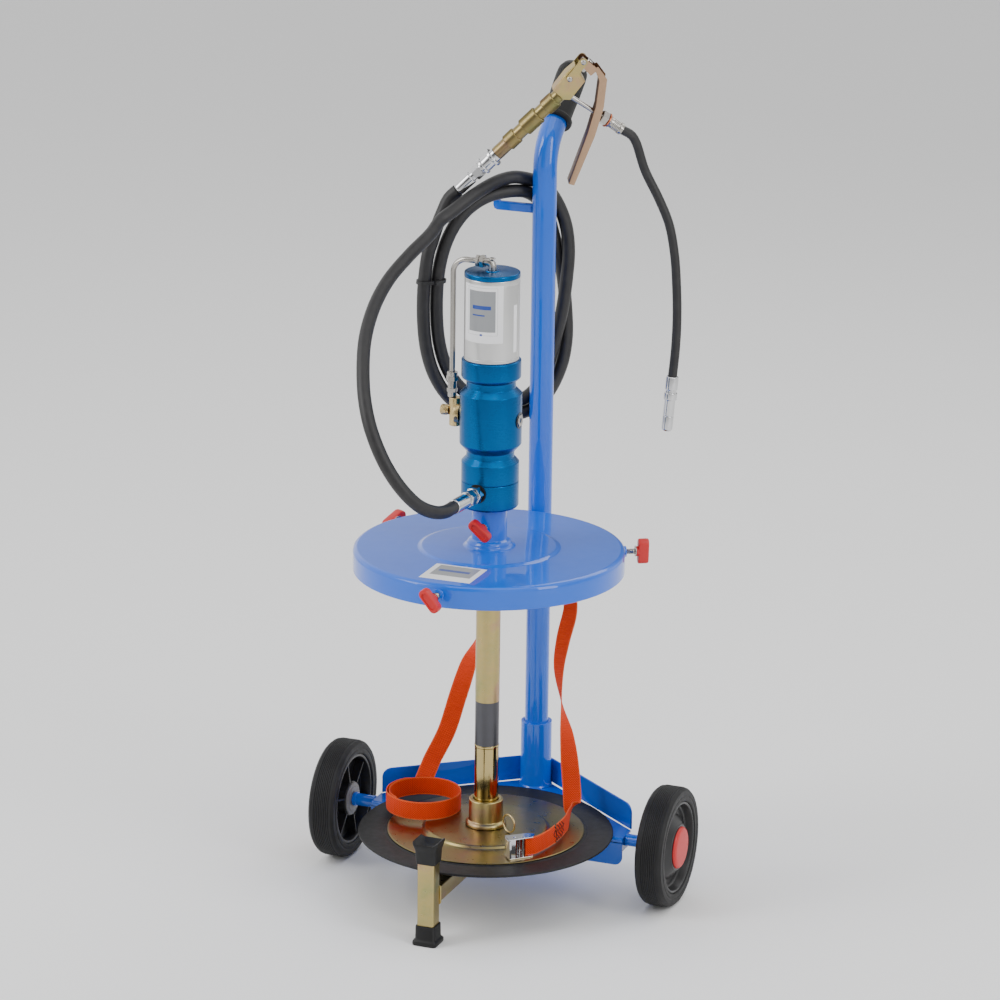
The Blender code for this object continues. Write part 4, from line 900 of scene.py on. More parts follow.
def front_leg():
    """Square-tube leg with its beam and weld."""
    half = TUBE_SIDE / 2
    wall = half - 0.0025
    bm = through([
        square_ring(wall, 0.006, 0.0015), square_ring(half, 0.006, 0.003), square_ring(half, LEG_TOP, 0.003),
        square_ring(wall, LEG_TOP, 0.0015),
    ], True)
    beam_start, beam_end = LEG_Y + half - 0.001, PLATE_FRONT - 0.0008
    length = beam_end - beam_start
    beam = through([
        square_ring(half, 0, 0.003), square_ring(half, length, 0.003), square_ring(wall, length, 0.0015),
        square_ring(wall, length - 0.01, 0.0015),
    ])
    beam.transform(
        Matrix.Translation((0, beam_start - LEG_Y, 0.070)) @ Matrix.Rotation(-math.pi / 2, 4, "X")
    )
    add(bm, beam)
    seam = square_ring(half + 0.0008, 0, 0.003)
    weld = tube(
        [Vector((x, beam_start - LEG_Y + 0.001, z + 0.070)) for x, z, _ in seam + seam[:1]], 0.0014, 8
    )
    add(bm, weld)
    piece(bm, "leg_tube", ZINC, nodes=["front_leg"], matrix=LEG_PLACE)


def leg_rubbers():
    """The rubber foot, and the saddle that the follower's edge rests on."""
    pocket = TUBE_SIDE / 2 + GAP
    foot = through([
        square_ring(0.0165, 0, 0.004), square_ring(0.0178, 0.0006, 0.005),
        square_ring(0.0182, 0.0020, 0.005),
        square_ring(0.0182, 0.0052, 0.005), square_ring(0.0176, 0.0068, 0.005),
        square_ring(0.0164, 0.0078, 0.005),
        square_ring(0.0150, 0.0100, 0.0045), square_ring(0.0146, 0.0280, 0.004),
        square_ring(0.0140, 0.0290, 0.004),
        square_ring(pocket, 0.029, 0.003), square_ring(pocket, 0.0057, 0.003),
    ])
    piece(foot, "foot_moulded", RUBBER, nodes=["leg_foot"], smooth=50, matrix=LEG_PLACE)
    top = LEG_TOP + GAP
    saddle = through([
        square_ring(pocket, top - 0.0005, 0.003), square_ring(pocket, top - 0.020, 0.003),
        square_ring(0.0142, top - 0.020, 0.004), square_ring(0.0146, top - 0.019, 0.004),
        square_ring(0.0156, top - 0.001, 0.0045), square_ring(0.0168, top + 0.0015, 0.005, 0.0020),
        square_ring(0.0184, top + 0.0040, 0.005, 0.0050), square_ring(0.0187, top + 0.0055, 0.005, 0.0062),
        square_ring(0.0182, top + 0.0068, 0.005, 0.0070), square_ring(0.0168, top + 0.0068, 0.005, 0.0066),
        square_ring(0.0130, top + 0.0040, 0.004, 0.0035), square_ring(0.0080, top + 0.0032, 0.003, 0.0012),
        square_ring(0.0020, top + 0.0030, 0.001),
    ])
    piece(saddle, "saddle_moulded", RUBBER, nodes=["leg_saddle"], smooth=60, matrix=LEG_PLACE)


for hand, word in ((-1, "left"), (1, "right")):
    wheel(hand, word)
base_plate()
rear_guard()
column()
front_leg()
leg_rubbers()


# ---------------------------------------------------------------- lid and hand screws
LID_R = 0.194
LID_TOP = 0.528
LID_SKIRT = 0.033
SHEET = 0.002
RIM_SCREW_Z = 0.5135
RIM_SCREWS = {"front": (-90, 40), "right": (30, 4), "left": (150, 62)}
COLLAR_SCREW = (-86, 48)
COLLAR_SCREW_Z = 0.5640
COLLAR_R = 0.025
TUBE_R = 0.0175


def heading(degrees):
    """The level direction at a plan angle."""
    return Vector((math.cos(math.radians(degrees)), math.sin(math.radians(degrees)), 0))


def lid():
    bottom = LID_TOP - LID_SKIRT
    profile = [
        (COLLAR_R, 0.5885), (COLLAR_R, 0.5418), (0.0262, 0.5412), (0.0290, 0.5400), (0.0312, 0.5372),
        (0.0318, 0.5340), (0.0340, 0.5315), (0.0375, 0.5305), (0.0920, 0.5305), (0.0960, 0.5302),
        (0.0990, 0.5288), (0.1020, LID_TOP), (0.1878, LID_TOP), (0.1905, LID_TOP - 0.0008),
        (0.1928, LID_TOP - 0.0026), (LID_R, LID_TOP - 0.0060), (LID_R, bottom + 0.0022),
        (LID_R, bottom + 0.0008), (LID_R - 0.0008, bottom), (LID_R - SHEET + 0.0004, bottom),
        (LID_R - SHEET, bottom + 0.0008), (LID_R - SHEET, LID_TOP - 0.0060), (0.1880, LID_TOP - SHEET),
        (0.1005, LID_TOP - SHEET), (0.0945, 0.5280), (TUBE_R + 0.0006, 0.5280), (TUBE_R + 0.0006, 0.5885),
    ]
    bm = turned(profile, 180, 0.0006)
    for degrees, _ in RIM_SCREWS.values():
        out = heading(degrees)
        boss = turned([(0.0080, 0.0045), (0.0080, 0.0010), (0.0090, 0), (0.0043, 0), (0.0043, 0.0045)], 40)
        boss.transform(facing(out * (LID_R - 0.0006) + Vector((0, 0, RIM_SCREW_Z)), out))
        add(bm, boss)
    piece(bm, "lid_pressed", BLUE, "lid", ["drum_lid"], matrix=HERE)
    for name, stuff, left, right, front, back, low in (
        ("sheet", WHITE_LABEL, -0.038, 0.038, -0.172, -0.104, 0.0),
        ("panel", GREY_LABEL, -0.030, 0.030, -0.152, -0.108, 0.0002),
        ("bar", BLUE_LABEL, -0.024, 0.022, -0.134, -0.126, 0.0003),
    ):
        sticker = plate(oblong(left, right, front, back), LID_TOP + low, LID_TOP + low + 0.0002, 0)
        piece(sticker, "lid_label_" + name, stuff, "lid", matrix=HERE, slot="blue_paint")


def hand_screw(name, tip, out, stud, turn):
    """Stud, neck and washer under an oblong knob with round ends and a hollow in each side."""
    pitch = 0.0012
    low, end = 0.0008, stud - 0.002
    root, crest = 0.0036, 0.00395
    ridges = []
    for i in range(int((stud - 0.004) / pitch)):
        z = 0.0015 + i * pitch
        ridges += [(root, z), (crest, z + pitch / 2)]
    thread = turned([(0, end), (root, end)] + list(reversed(ridges)) + [(root, low), (0, low)], 32, 0)
    piece(thread, name + "_stud", STEEL, name, matrix=facing(tip, out))
    washer = turned(
        [(0.0042, stud - 0.0003), (0.0042, stud - 0.0015), (0.0078, stud - 0.0015), (0.0078, stud - 0.0003)],
        40, 0.0002
    )
    piece(washer, name + "_washer", STEEL, name, matrix=facing(tip, out))
    bm = turned([(0, stud + 0.006), (0.0066, stud + 0.006), (0.0074, stud), (0, stud)], 40, 0.0006)
    outline = arc((0, 0.0118), 0.0070, -4, 184, 10) + arc((0, -0.0118), 0.0070, 176, 364, 10)
    loops = []
    for z, size in (
        (0, 0.90), (0.0010, 0.985), (0.0025, 1.0), (0.0110, 1.0), (0.0135, 0.97), (0.0147, 0.90),
        (0.0150, 0.80)
    ):
        loops.append([(x * size, y * (1 - (1 - size) * 0.45), z) for x, y in outline])
    rim_in = [(x * 0.60, y * 0.72, 0.0150) for x, y in outline]
    floor = [(x * 0.54, y * 0.68, 0.0132) for x, y in outline]
    knob = through(loops + [rim_in, floor])
    knob.transform(Matrix.Translation((0, 0, stud + 0.003)) @ Matrix.Rotation(math.radians(turn), 4, "Z"))
    add(bm, knob)
    piece(bm, name + "_knob", RED, name, [name], matrix=facing(tip, out), smooth=40)


lid()
for word, (degrees, turn) in RIM_SCREWS.items():
    way = heading(degrees)
    hand_screw(f"rim_screw_{word}", at(*(way * 0.1750)) + Vector((0, 0, RIM_SCREW_Z)), way, 0.0375, turn)
way = heading(COLLAR_SCREW[0])
hand_screw(
    "collar_screw", at(*(way * (TUBE_R + 2 * GAP))) + Vector((0, 0, COLLAR_SCREW_Z)), way, 0.0170,
    COLLAR_SCREW[1],
)


# ---------------------------------------------------------------- pump
PUMP_FOOT_Z = 0.590
BODY_SEAM_Z = 0.6275
BODY_TOP_Z = 0.805
CYLINDER_R = 0.039
CAP_Z = 0.924


def on_axis(name, stuff, profile, z=0.0, nodes=(), **more):
    """A piece turned about the pump's own axis, its profile counted from a height."""
    return lathe(name, stuff, profile, at(0, 0, z), UP, nodes=nodes, **more)


def cylinder_patch(radius, thick, first, last, low, high, steps=40):
    """A thin curved sheet round the pump's axis between two plan angles."""
    loops = []
    for i in range(steps + 1):
        a = math.radians(first + (last - first) * i / steps)
        c, s = math.cos(a), math.sin(a)
        outer, inner = radius + thick, radius
        loops.append([
            (inner * c, inner * s, low), (outer * c, outer * s, low), (outer * c, outer * s, high),
            (inner * c, inner * s, high),
        ])
    return through(loops)


def air_motor():
    """Cap, air cylinder, motor body and outlet block, one above the other."""
    cap = [
        (0.0065, 0.0085), (0.0105, 0.0085), (0.0110, 0.0072), (0.0380, 0.0070), (0.0392, 0.0062),
        (0.0395, 0.0050), (0.0395, 0.0004), (0.0391, 0), (0.0065, 0),
    ]
    on_axis("cap_turned", ANODISED, cap, CAP_Z, ["pump_cap"], steps=120)
    wall = [
        (CYLINDER_R - 0.0004, CAP_Z - GAP), (CYLINDER_R, CAP_Z - 0.0010), (CYLINDER_R, CAP_Z - 0.0060),
        (CYLINDER_R - 0.0004, CAP_Z - 0.0064), (CYLINDER_R - 0.0004, CAP_Z - 0.0070),
        (CYLINDER_R, CAP_Z - 0.0074), (CYLINDER_R, BODY_TOP_Z + 0.0064),
        (CYLINDER_R - 0.0004, BODY_TOP_Z + 0.0060), (CYLINDER_R - 0.0004, BODY_TOP_Z + 0.0054),
        (CYLINDER_R, BODY_TOP_Z + 0.0050), (CYLINDER_R, BODY_TOP_Z + 0.0010),
        (CYLINDER_R - 0.0004, BODY_TOP_Z + GAP), (0.0360, BODY_TOP_Z + GAP), (0.0360, CAP_Z - GAP),
    ]
    on_axis("cylinder_turned", SATIN, wall, 0, ["air_cylinder"], steps=144, soft=0.0001)
    motor = [
        (0.0410, BODY_TOP_Z), (0.0422, BODY_TOP_Z - 0.0012), (0.0422, 0.7800), (0.0410, 0.7780),
        (0.0352, 0.7738), (0.0350, 0.7725), (0.0350, 0.7642), (0.0440, 0.7555), (0.0440, 0.6825),
        (0.0430, 0.6808), (0.0342, 0.6715), (0.0340, 0.6705), (0.0340, 0.6632), (0.0410, 0.6555),
        (0.0410, BODY_SEAM_Z + 0.0009), (0.0404, BODY_SEAM_Z + GAP), (0.0065, BODY_SEAM_Z + GAP),
        (0.0065, BODY_TOP_Z),
    ]
    on_axis("motor_turned", ANODISED, motor, 0, ["air_motor_body"], steps=144)
    block = [
        (0.0404, BODY_SEAM_Z), (0.0410, BODY_SEAM_Z - 0.0008), (0.0410, 0.5925), (0.0392, PUMP_FOOT_Z),
        (0.0130, PUMP_FOOT_Z), (0.0130, 0.6100), (0.0065, 0.6160), (0.0065, BODY_SEAM_Z),
    ]
    on_axis("block_turned", ANODISED, block, 0, ["outlet_block"], steps=144)


def labels():
    """The plain sticker on the air cylinder: white sheets, a grey panel and blue bars."""
    label = (CYLINDER_R, 0.00018)
    sheet = cylinder_patch(*label, -138, -45, 0.8358, 0.9185)
    add(sheet, cylinder_patch(*label, -18, -6, 0.8200, 0.8880, 8))
    piece(sheet, "label_sheet", WHITE_LABEL, matrix=HERE)
    print_at = (CYLINDER_R + 0.00018, 0.00006)
    panel = cylinder_patch(*print_at, -121.5, -61.5, 0.8520, 0.9105)
    for first, last, low, high in (
        (-126, -57.0, 0.9148, 0.9151), (-126, -57.0, 0.8470, 0.8473), (-126, -125.6, 0.8473, 0.9148),
        (-57.4, -57, 0.8473, 0.9148),
    ):
        add(panel, cylinder_patch(*print_at, first, last, low, high, 12))
    piece(panel, "label_panel", GREY_LABEL, matrix=HERE)
    mark = cylinder_patch(print_at[0] + 0.00006, 0.00006, -112, -71, 0.8840, 0.8895, 20)
    add(mark, cylinder_patch(print_at[0] + 0.00006, 0.00006, -112, -84, 0.8745, 0.8765, 16))
    add(mark, cylinder_patch(*print_at, -94.5, -89.0, 0.8462, 0.8490, 4))
    piece(mark, "label_bars", BLUE_LABEL, matrix=HERE)


def outlet():
    """The outlet union with a thin black ring round its base as painted shadow, and the plug in the side of
    the motor body, its recess coloured dark as painted shade.
    """
    level = at(0, 0, OUTLET_Z)
    union = turned([
        (0, FITTING_END), (0.0086, FITTING_END), (0.0099, FITTING_END - 0.0004),
        (0.0106, FITTING_END - 0.0016), (0.0106, 0.0815), (0.0102, 0.0795), (0.0094, 0.0780),
        (0.0080, 0.0774), (0.0080, 0.0765), (0.0112, 0.0758), (0.0112, 0.0738), (0.0085, 0.0732),
        (0.0085, 0.0415), (0.0080, 0.0412), (0.0080, 0.0235), (0, 0.0235),
    ], 96, 0.0003)
    add(union, hexagon(0.0128, 0.0425, 0.0560, 6))
    add(union, turned([(0, 0.0600), (0.0092, 0.0600), (0.0092, 0.0562), (0, 0.0562)], 48))
    add(union, hexagon(0.0122, 0.0600, 0.0738, 24))
    piece(union, "union_turned", CHROME, nodes=["outlet_union"], matrix=facing(level, OUTLET))
    # A thin black ring where the union meets the block: painted shadow, not a real seal.
    seat = sleeve(0.0138, 0.0090, 0.0405, 0.0412, 64, 0.0001)
    piece(seat, "union_painted_shadow_ring", RUBBER, matrix=facing(level, OUTLET))
    plug = turned([
        (0.0085, 0.0035), (0.0094, 0.0030), (0.0094, -0.0080), (0, -0.0080), (0, 0.0008),
        (0.0040, 0.0008), (0.0040, 0.0035),
    ], 6, 0.0004)
    piece(plug, "plug_hex", STEEL, nodes=["body_plug"], matrix=facing(at(0.0420, 0, 0.719), (1, 0, 0)))
    # The recess round the plug is coloured dark as painted shade in the hollow.
    recess = turned(
        [(0.0118, 0.0022), (0.0118, 0.0018), (0.0098, -0.004), (0.0096, -0.004), (0.0096, 0.0022)], 48, 0
    )
    piece(recess, "plug_recess_painted_shade", DARK_AND_SHADE, slot="blue_anodised", matrix=facing(at(0.0420, 0, 0.719), (1, 0, 0)))


def suction_tube():
    """The tube in three stretches, the middle one dark and the lowest one polished."""
    tube_foot, mark_low, mark_high = PLATE_TOP + GAP, 0.2310, 0.2970
    upper = [
        (TUBE_R, PUMP_FOOT_Z - GAP), (TUBE_R, mark_high), (0.0145, mark_high), (0.0145, PUMP_FOOT_Z - GAP),
    ]
    on_axis("tube_upper", ZINC, upper, 0, ["suction_tube"], steps=72)
    band = [
        (TUBE_R - 0.0002, mark_high), (TUBE_R - 0.0002, mark_low), (0.0145, mark_low), (0.0145, mark_high),
    ]
    on_axis("tube_band", DARK_AND_SHADE, band, slot="yellow_zinc", steps=72, soft=0)
    lower = [
        (TUBE_R + 0.0001, mark_low), (TUBE_R + 0.0004, mark_low - 0.0010),
        (TUBE_R + 0.0004, mark_low - 0.0030), (TUBE_R, mark_low - 0.0040), (TUBE_R, tube_foot),
        (0.0145, tube_foot), (0.0145, mark_low),
    ]
    on_axis("tube_lower", POLISHED, lower, steps=72, soft=0.0002)


air_motor()
labels()
outlet()
suction_tube()


def air_line():
    x_down = -0.0588
    top = CAP_Z + 0.0195
    elbow = turned([(0.0068, 0.0040), (0.0068, 0.0005), (0.0062, 0), (0, 0), (0, 0.0040)], 48)
    corner = [Vector((0, 0, 0.0020)), Vector((0, 0, 0.0120))]
    corner += [Vector((-0.0062 * (1 - math.cos(a)), 0, 0.0123 + 0.0062 * math.sin(a))) for a in
               [math.radians(15 * i) for i in range(1, 7)]]
    corner += [Vector((-0.0230, 0, 0.0185))]
    add(elbow, tube(corner, 0.0057, 40))
    knob = turned([(0, 0.0018), (0.0030, 0.0018), (0.0044, 0.0010), (0.0052, 0), (0, 0)], 40)
    knob.transform(Matrix.Translation((-0.0008, 0, 0.0232)))
    add(elbow, knob)
    nut = hexagon(0.0098, 0.0115, 0.0178, 8)
    add(nut, sleeve(0.0066, 0, 0.0175, 0.0195))
    add(nut, hexagon(0.0092, 0.0190, 0.0240, 20))
    nut.transform(facing(Vector((0, 0, 0.0185)), (-1, 0, 0)))
    add(elbow, nut)
    piece(
        elbow, "elbow_upper", STEEL, nodes=["air_elbow_top"],
        matrix=Matrix.Translation(at(0, 0, CAP_Z + 0.001))
    )
    bend = 0.0200
    route = [at(-0.0243, 0, top), at(x_down + bend, 0, top)]
    for i in range(1, 19):
        a = math.pi / 2 * i / 18
        route.append(at(x_down + bend - bend * math.sin(a), 0, top - bend + bend * math.cos(a)))
    route.append(at(x_down, 0, 0.7800))
    piece(tube(route, 0.0040, 32, 0.0028), "air_pipe", STEEL, nodes=["air_tube"])
    lower = hexagon(0.0088, 0.7660, 0.7735, 10)
    add(lower, turned([(0.0066, 0.7795), (0.0076, 0.7785), (0.0076, 0.7730), (0, 0.7730), (0, 0.7795)], 48))
    add(lower, sleeve(0.0062, 0, 0.7430, 0.7665))
    add(lower, hexagon(0.0078, 0.7500, 0.7560, 25))
    piece(
        lower, "elbow_lower", STEEL, nodes=["air_elbow_bottom"], matrix=Matrix.Translation(at(x_down, 0, 0))
    )
    valve = turned([
        (0.0079, 0.0205), (0.0085, 0.0199), (0.0085, -0.0199), (0.0079, -0.0205), (0, -0.0205), (0, 0.0205),
    ], 72)
    valve.transform(Matrix.Translation((-0.0540, 0, 0.7220)))
    flange = turned([(0.0144, 0.0080), (0.0150, 0.0074), (0.0150, 0), (0, 0), (0, 0.0080)], 96)
    flange.transform(facing(Vector((-0.0440 - GAP, 0, 0.7200)), (-1, 0, 0)))
    add(valve, flange)
    piece(valve, "valve_body", BRASS, nodes=["air_valve"], matrix=HERE)
    # A thin dark disc where the valve's port opens: painted shade standing for the shaded hole.
    port = sleeve(0.0026, 0, 0, 0.0006, 32, 0.0002)
    port.transform(facing(at(-0.0475, -0.0149, 0.7160), (0, -1, 0)))
    piece(port, "valve_port_painted_shade", DARK_AND_SHADE, slot="brass")
    silencer = turned([
        (0, 0.0125), (0.0060, 0.0125), (0.0070, 0.0120), (0.0076, 0.0108), (0.0076, 0.0030),
        (0.0066, 0.0024), (0.0066, 0), (0, 0),
    ], 96, 0.0003, (24, 0.0006, 0.0035, 0.0106))
    piece(
        silencer, "silencer_sintered", BRASS, nodes=["air_silencer"],
        matrix=facing(at(-0.0628, 0, 0.7225), (-1, 0, 0)),
    )


air_line()


# ---------------------------------------------------------------- follower
RUBBER_Z = PLATE_TOP + GAP
RUBBER_T = 0.0036


def follower():
    """Rubber disc, dished plate and boss round the suction tube, and the pull ring."""
    bore = TUBE_R + 0.0005
    top = RUBBER_Z + RUBBER_T
    disc = [
        (bore, top), (0.1465, top), (0.1475, top - 0.0006), (0.1500, top - 0.0004),
        (0.1835, top - 0.0002), (0.1846, top - 0.0008), (0.1850, top - 0.0022),
        (0.1846, RUBBER_Z + 0.0008), (0.1835, RUBBER_Z), (bore, RUBBER_Z),
    ]
    piece(turned(disc, 180, 0.0004), "follower_disc", RUBBER, "follower", ["follower_rubber"], matrix=HERE)
    rest = top + GAP
    dish = [
        (bore, rest + 0.0080), (bore, rest), (0.1422, rest), (0.1430, rest + 0.0006),
        (0.1429, rest + 0.0012), (0.1418, rest + 0.0016), (0.0950, rest + 0.0020),
        (0.0930, rest + 0.0022), (0.0908, rest + 0.0036), (0.0888, rest + 0.0062),
        (0.0868, rest + 0.0074), (0.0400, rest + 0.0080),
    ]
    piece(turned(dish, 180, 0.0005), "follower_dish", DULL_ZINC, "follower", ["follower_plate"], matrix=HERE)
    seat = rest + 0.0080 + GAP
    hub = [
        (0.0225, seat + 0.0400), (0.0240, seat + 0.0398), (0.0248, seat + 0.0388),
        (0.0248, seat + 0.0085), (0.0252, seat + 0.0076), (0.0268, seat + 0.0070),
        (0.0288, seat + 0.0054), (0.0296, seat + 0.0034), (0.0296, seat + 0.0006), (0.0290, seat),
        (bore, seat), (bore, seat + 0.0385), (bore + 0.0012, seat + 0.0400),
    ]
    piece(turned(hub, 96, 0.0004), "follower_boss", ZINC, "follower", ["follower_hub"], matrix=HERE)
    loops = []
    for i in range(72):
        a = 2 * math.pi * i / 72
        loops.append([
            ((0.0130 + 0.00125 * math.cos(b)) * math.cos(a), (0.0130 + 0.00125 * math.cos(b)) * math.sin(a),
             0.00125 * math.sin(b)) for b in [2 * math.pi * k / 16 for k in range(16)]
        ])
    piece(
        through(loops, True), "ring_wire", BRASS, "pull_ring", ["pull_ring"],
        matrix=facing(at(0.0440, -0.0220, seat + 0.0143), (0.50, 0.86, 0)),
    )


# ---------------------------------------------------------------- strap
STRAP_W = 0.027
STRAP_T = 0.0016
STRAP_RING = Vector((-0.1080, 0.0280, 0.1076 + STRAP_W / 2))
BUCKLE = Vector((0.0795, -0.0931, 0.1012))
BUCKLE_TURN = math.radians(40)
BUCKLE_H = 0.0304
CHEEK_T = 0.0014


def buckle_point(along, across):
    c, s = math.cos(BUCKLE_TURN), math.sin(BUCKLE_TURN)
    return BUCKLE + Vector((along * c - across * s, along * s + across * c, BUCKLE_H / 2))


def strap_stops():
    stops = []
    for i in range(22):
        a = math.radians(600 - i * 480 / 21)
        r = 0.0510 + 0.0050 * i / 21
        stops.append((STRAP_RING + Vector((math.cos(a), math.sin(a), 0)) * r, math.degrees(a)))
    stops += [
        (Vector((-0.1290, 0.1130, 0.1520)), 114), (Vector((-0.1175, 0.1380, 0.1880)), 112),
        (Vector((-0.1080, 0.1560, 0.2360)), 106), (Vector((-0.0990, 0.1720, 0.2800)), 80),
        (Vector((-0.0908, 0.1850, 0.3185)), 21), (Vector((-0.0790, 0.1960, 0.3600)), -20),
        (Vector((-0.0580, 0.2080, 0.4080)), -42), (Vector((-0.0350, 0.2200, 0.4400)), -52),
    ]
    column_axis = Vector((FRAME_X, COLUMN_Y, 0.45))
    for degrees in (130, 110, 90, 70, 50):
        a = math.radians(degrees)
        stops.append(
            (column_axis + (COLUMN_R + 2 * STRAP_T) * Vector((math.cos(a), math.sin(a), 0)), degrees - 180)
        )
    stops += [
        (Vector((0.0270, 0.2190, 0.4400)), -128), (Vector((0.0470, 0.2020, 0.4150)), -118),
        (Vector((0.0545, 0.1920, 0.3850)), -110), (Vector((0.0500, 0.1750, 0.3400)), -112),
        (Vector((0.0500, 0.1600, 0.3030)), -124), (Vector((0.0600, 0.1450, 0.2580)), -159),
        (Vector((0.0750, 0.1300, 0.2110)), -206), (Vector((0.0850, 0.1180, 0.1700)), -236),
        (Vector((0.0920, 0.1080, 0.1400)), -248), (Vector((0.0990, 0.0920, 0.1200)), -262),
        (Vector((0.1060, 0.0640, 0.1160)), -276), (Vector((0.1143, 0.0250, 0.1160)), -279),
        (Vector((0.1150, -0.0150, 0.1160)), -274), (Vector((0.1110, -0.0500, 0.1160)), -262),
        (buckle_point(0.0300, -0.0025), -240), (buckle_point(0.0160, -0.0035), -230),
    ]
    return stops


def strap():
    scale = 0.01
    route = []
    for point, degrees in strap_stops():
        a = math.radians(degrees)
        route.append(Vector((*point, scale * math.cos(a), scale * math.sin(a))))
    path = smooth_path(route, 0.004)
    frames = frames_along([p.to_3d() for p in path])
    bm = bmesh.new()
    layer = bm.loops.layers.uv.new("UVMap")
    rows, marks, length, before = [], [], 0.0, None
    columns = 9
    for (point, tangent, _, _), whole in zip(frames, path):
        face = Vector((whole[3], whole[4], 0))
        face = (face - face.dot(tangent) * tangent).normalized() * STRAP_T / 2
        side = tangent.cross(face).normalized() * STRAP_W / 2
        length += 0 if before is None else (point - before).length
        before = point
        row = []
        shares = [1 - 2 * k / (columns - 1) for k in range(columns)]
        for sign, order in ((1, shares), (-1, reversed(shares))):
            for share in order:
                thin = sign * (1.0 if abs(share) < 0.99 else 0.45)
                row.append((point + side * share + face * thin, (1 + share) / 2 * STRAP_W))
        rows.append([(bm.verts.new(p + Vector((0, PUMP_Y, 0))), u) for p, u in row])
        marks.append(length)
    for i in range(len(rows) - 1):
        for k in range(len(rows[i])):
            corners = [(rows[i][k - 1], marks[i]), (rows[i][k], marks[i]), (rows[i + 1][k], marks[i + 1]),
                       (rows[i + 1][k - 1], marks[i + 1])]
            made = bm.faces.new([c[0][0] for c in corners])
            for loop, (vertex, along) in zip(made.loops, corners):
                loop[layer].uv = (vertex[1], along)
    for row, along in ((rows[0], marks[0]), (rows[-1], marks[-1])):
        made = bm.faces.new([v for v, _ in row])
        for loop, vertex in zip(made.loops, row):
            loop[layer].uv = (vertex[1], along)
    band = piece(bm, "strap_woven", WEBBING, nodes=["strap"], smooth=60)
    stitching(path, frames)
    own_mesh(band)
    return band, length


def stitching(path, frames):
    """Two rows of slanted stitches on both faces, near the buckle."""
    stitches = bmesh.new()
    start = len(path) - 26
    for k in range(9):
        along = start + k
        for flank in (-1, 1):
            point, tangent, _, _ = frames[along]
            whole = path[along]
            face = Vector((whole[3], whole[4], 0))
            face = (face - face.dot(tangent) * tangent).normalized()
            side = tangent.cross(face).normalized()
            centre = point + side * (flank * (0.0030 + 0.0060 * (k % 2)))
            for sign in (-1, 1):
                stitch = plate(oblong(-0.0036, 0.0036, -0.0006, 0.0006), 0, 0.0008, 0)
                lean = (tangent + side * flank * (0.9 if k % 2 else -0.9)).normalized()
                up = face * sign
                across = up.cross(lean)
                turn = Matrix((lean, across, up)).transposed().to_4x4()
                spot = centre + up * (STRAP_T / 2 - 0.0001) + Vector((0, PUMP_Y, 0))
                stitch.transform(Matrix.Translation(spot) @ turn)
                add(stitches, stitch)
    piece(stitches, "strap_stitching", THREAD, "follower")


def buckle():
    turn = Matrix.Rotation(BUCKLE_TURN, 4, "Z")
    foot = at(*BUCKLE)
    cheek = [(-0.0110, 0.0092), (-0.0100, -0.0110), (0.0264, -0.0076), (0.0328, 0.0036), (0.0240, 0.0092)]
    bm = plate(cheek, 0, CHEEK_T, 0.0003)
    add(bm, plate(cheek, BUCKLE_H - CHEEK_T, BUCKLE_H, 0.0003))
    add(bm, plate(oblong(-0.0040, 0.0240, 0.0074, 0.0090), 0.0006, BUCKLE_H - 0.0006, 0.0003))
    for spot, radius in (((0, 0), 0.0020), ((0.0125, -0.0035), 0.0018)):
        head = radius + 0.0012
        rod = turned([
            (0, BUCKLE_H + 0.0007), (head * 0.6, BUCKLE_H + 0.0006), (head, BUCKLE_H),
            (radius, BUCKLE_H - 0.0002), (radius, 0.0002), (head, 0), (head * 0.6, -0.0006), (0, -0.0007),
        ], 32, 0.0002)
        rod.transform(Matrix.Translation((*spot, 0)))
        add(bm, rod)
    piece(bm, "buckle_folded", CHROME, "follower", ["buckle_frame"], matrix=Matrix.Translation(foot) @ turn)
    arm = [
        (0.0046, 0.0), (0.0036, 0.0036), (0, 0.0046), (-0.0080, 0.0030), (-0.0092, 0.0078),
        (-0.0112, 0.0078), (-0.0122, -0.0060), (-0.0105, -0.0120), (-0.0080, -0.0125), (-0.0096, -0.0060),
        (-0.0090, -0.0020), (-0.0030, -0.0040), (0.0010, -0.0046),
    ]
    lever = plate(arm, 0, BUCKLE_H - 2 * CHEEK_T - 2 * GAP, 0.0004)
    piece(
        lever, "buckle_cam", CHROME, "buckle_lever", ["buckle_lever"],
        matrix=Matrix.Translation(foot + Vector((0, 0, CHEEK_T + GAP))) @ turn,
    )


follower()
BAND, BAND_LENGTH = strap()
buckle()


# ---------------------------------------------------------------- handset
GUN_PIVOT = (0.0296, -0.0145)
GUN_RIVET = (-0.0017, -0.0102)
GUN_HEAD_HALF = 0.0090
GUN_LEVER_HALF = 0.0105
GUN_FRAME = Matrix.Translation(GUN_HEAD) @ Matrix((GUN_X, GUN_Y, GUN_X.cross(GUN_Y))).transposed().to_4x4()


def knurl(low, high, outer, count=44):
    """A knurled band: diamonds between two end chamfers."""
    rows = max(4, int((high - low) / 0.0012))
    loops = []
    for r in range(rows + 1):
        z = low + 0.0012 + (high - low - 0.0024) * r / rows
        loop = []
        for i in range(count * 2):
            peak = (i + r) % 2 == 0
            radius = outer - (0 if peak else 0.0010)
            a = math.pi * i / count
            loop.append((radius * math.cos(a), radius * math.sin(a), z))
        loops.append(loop)
    root = outer - 0.0012
    angles = [math.pi * i / count for i in range(count * 2)]
    first, last = [[(root * math.cos(a), root * math.sin(a), z) for a in angles] for z in (low, high)]
    return through([first] + loops + [last])


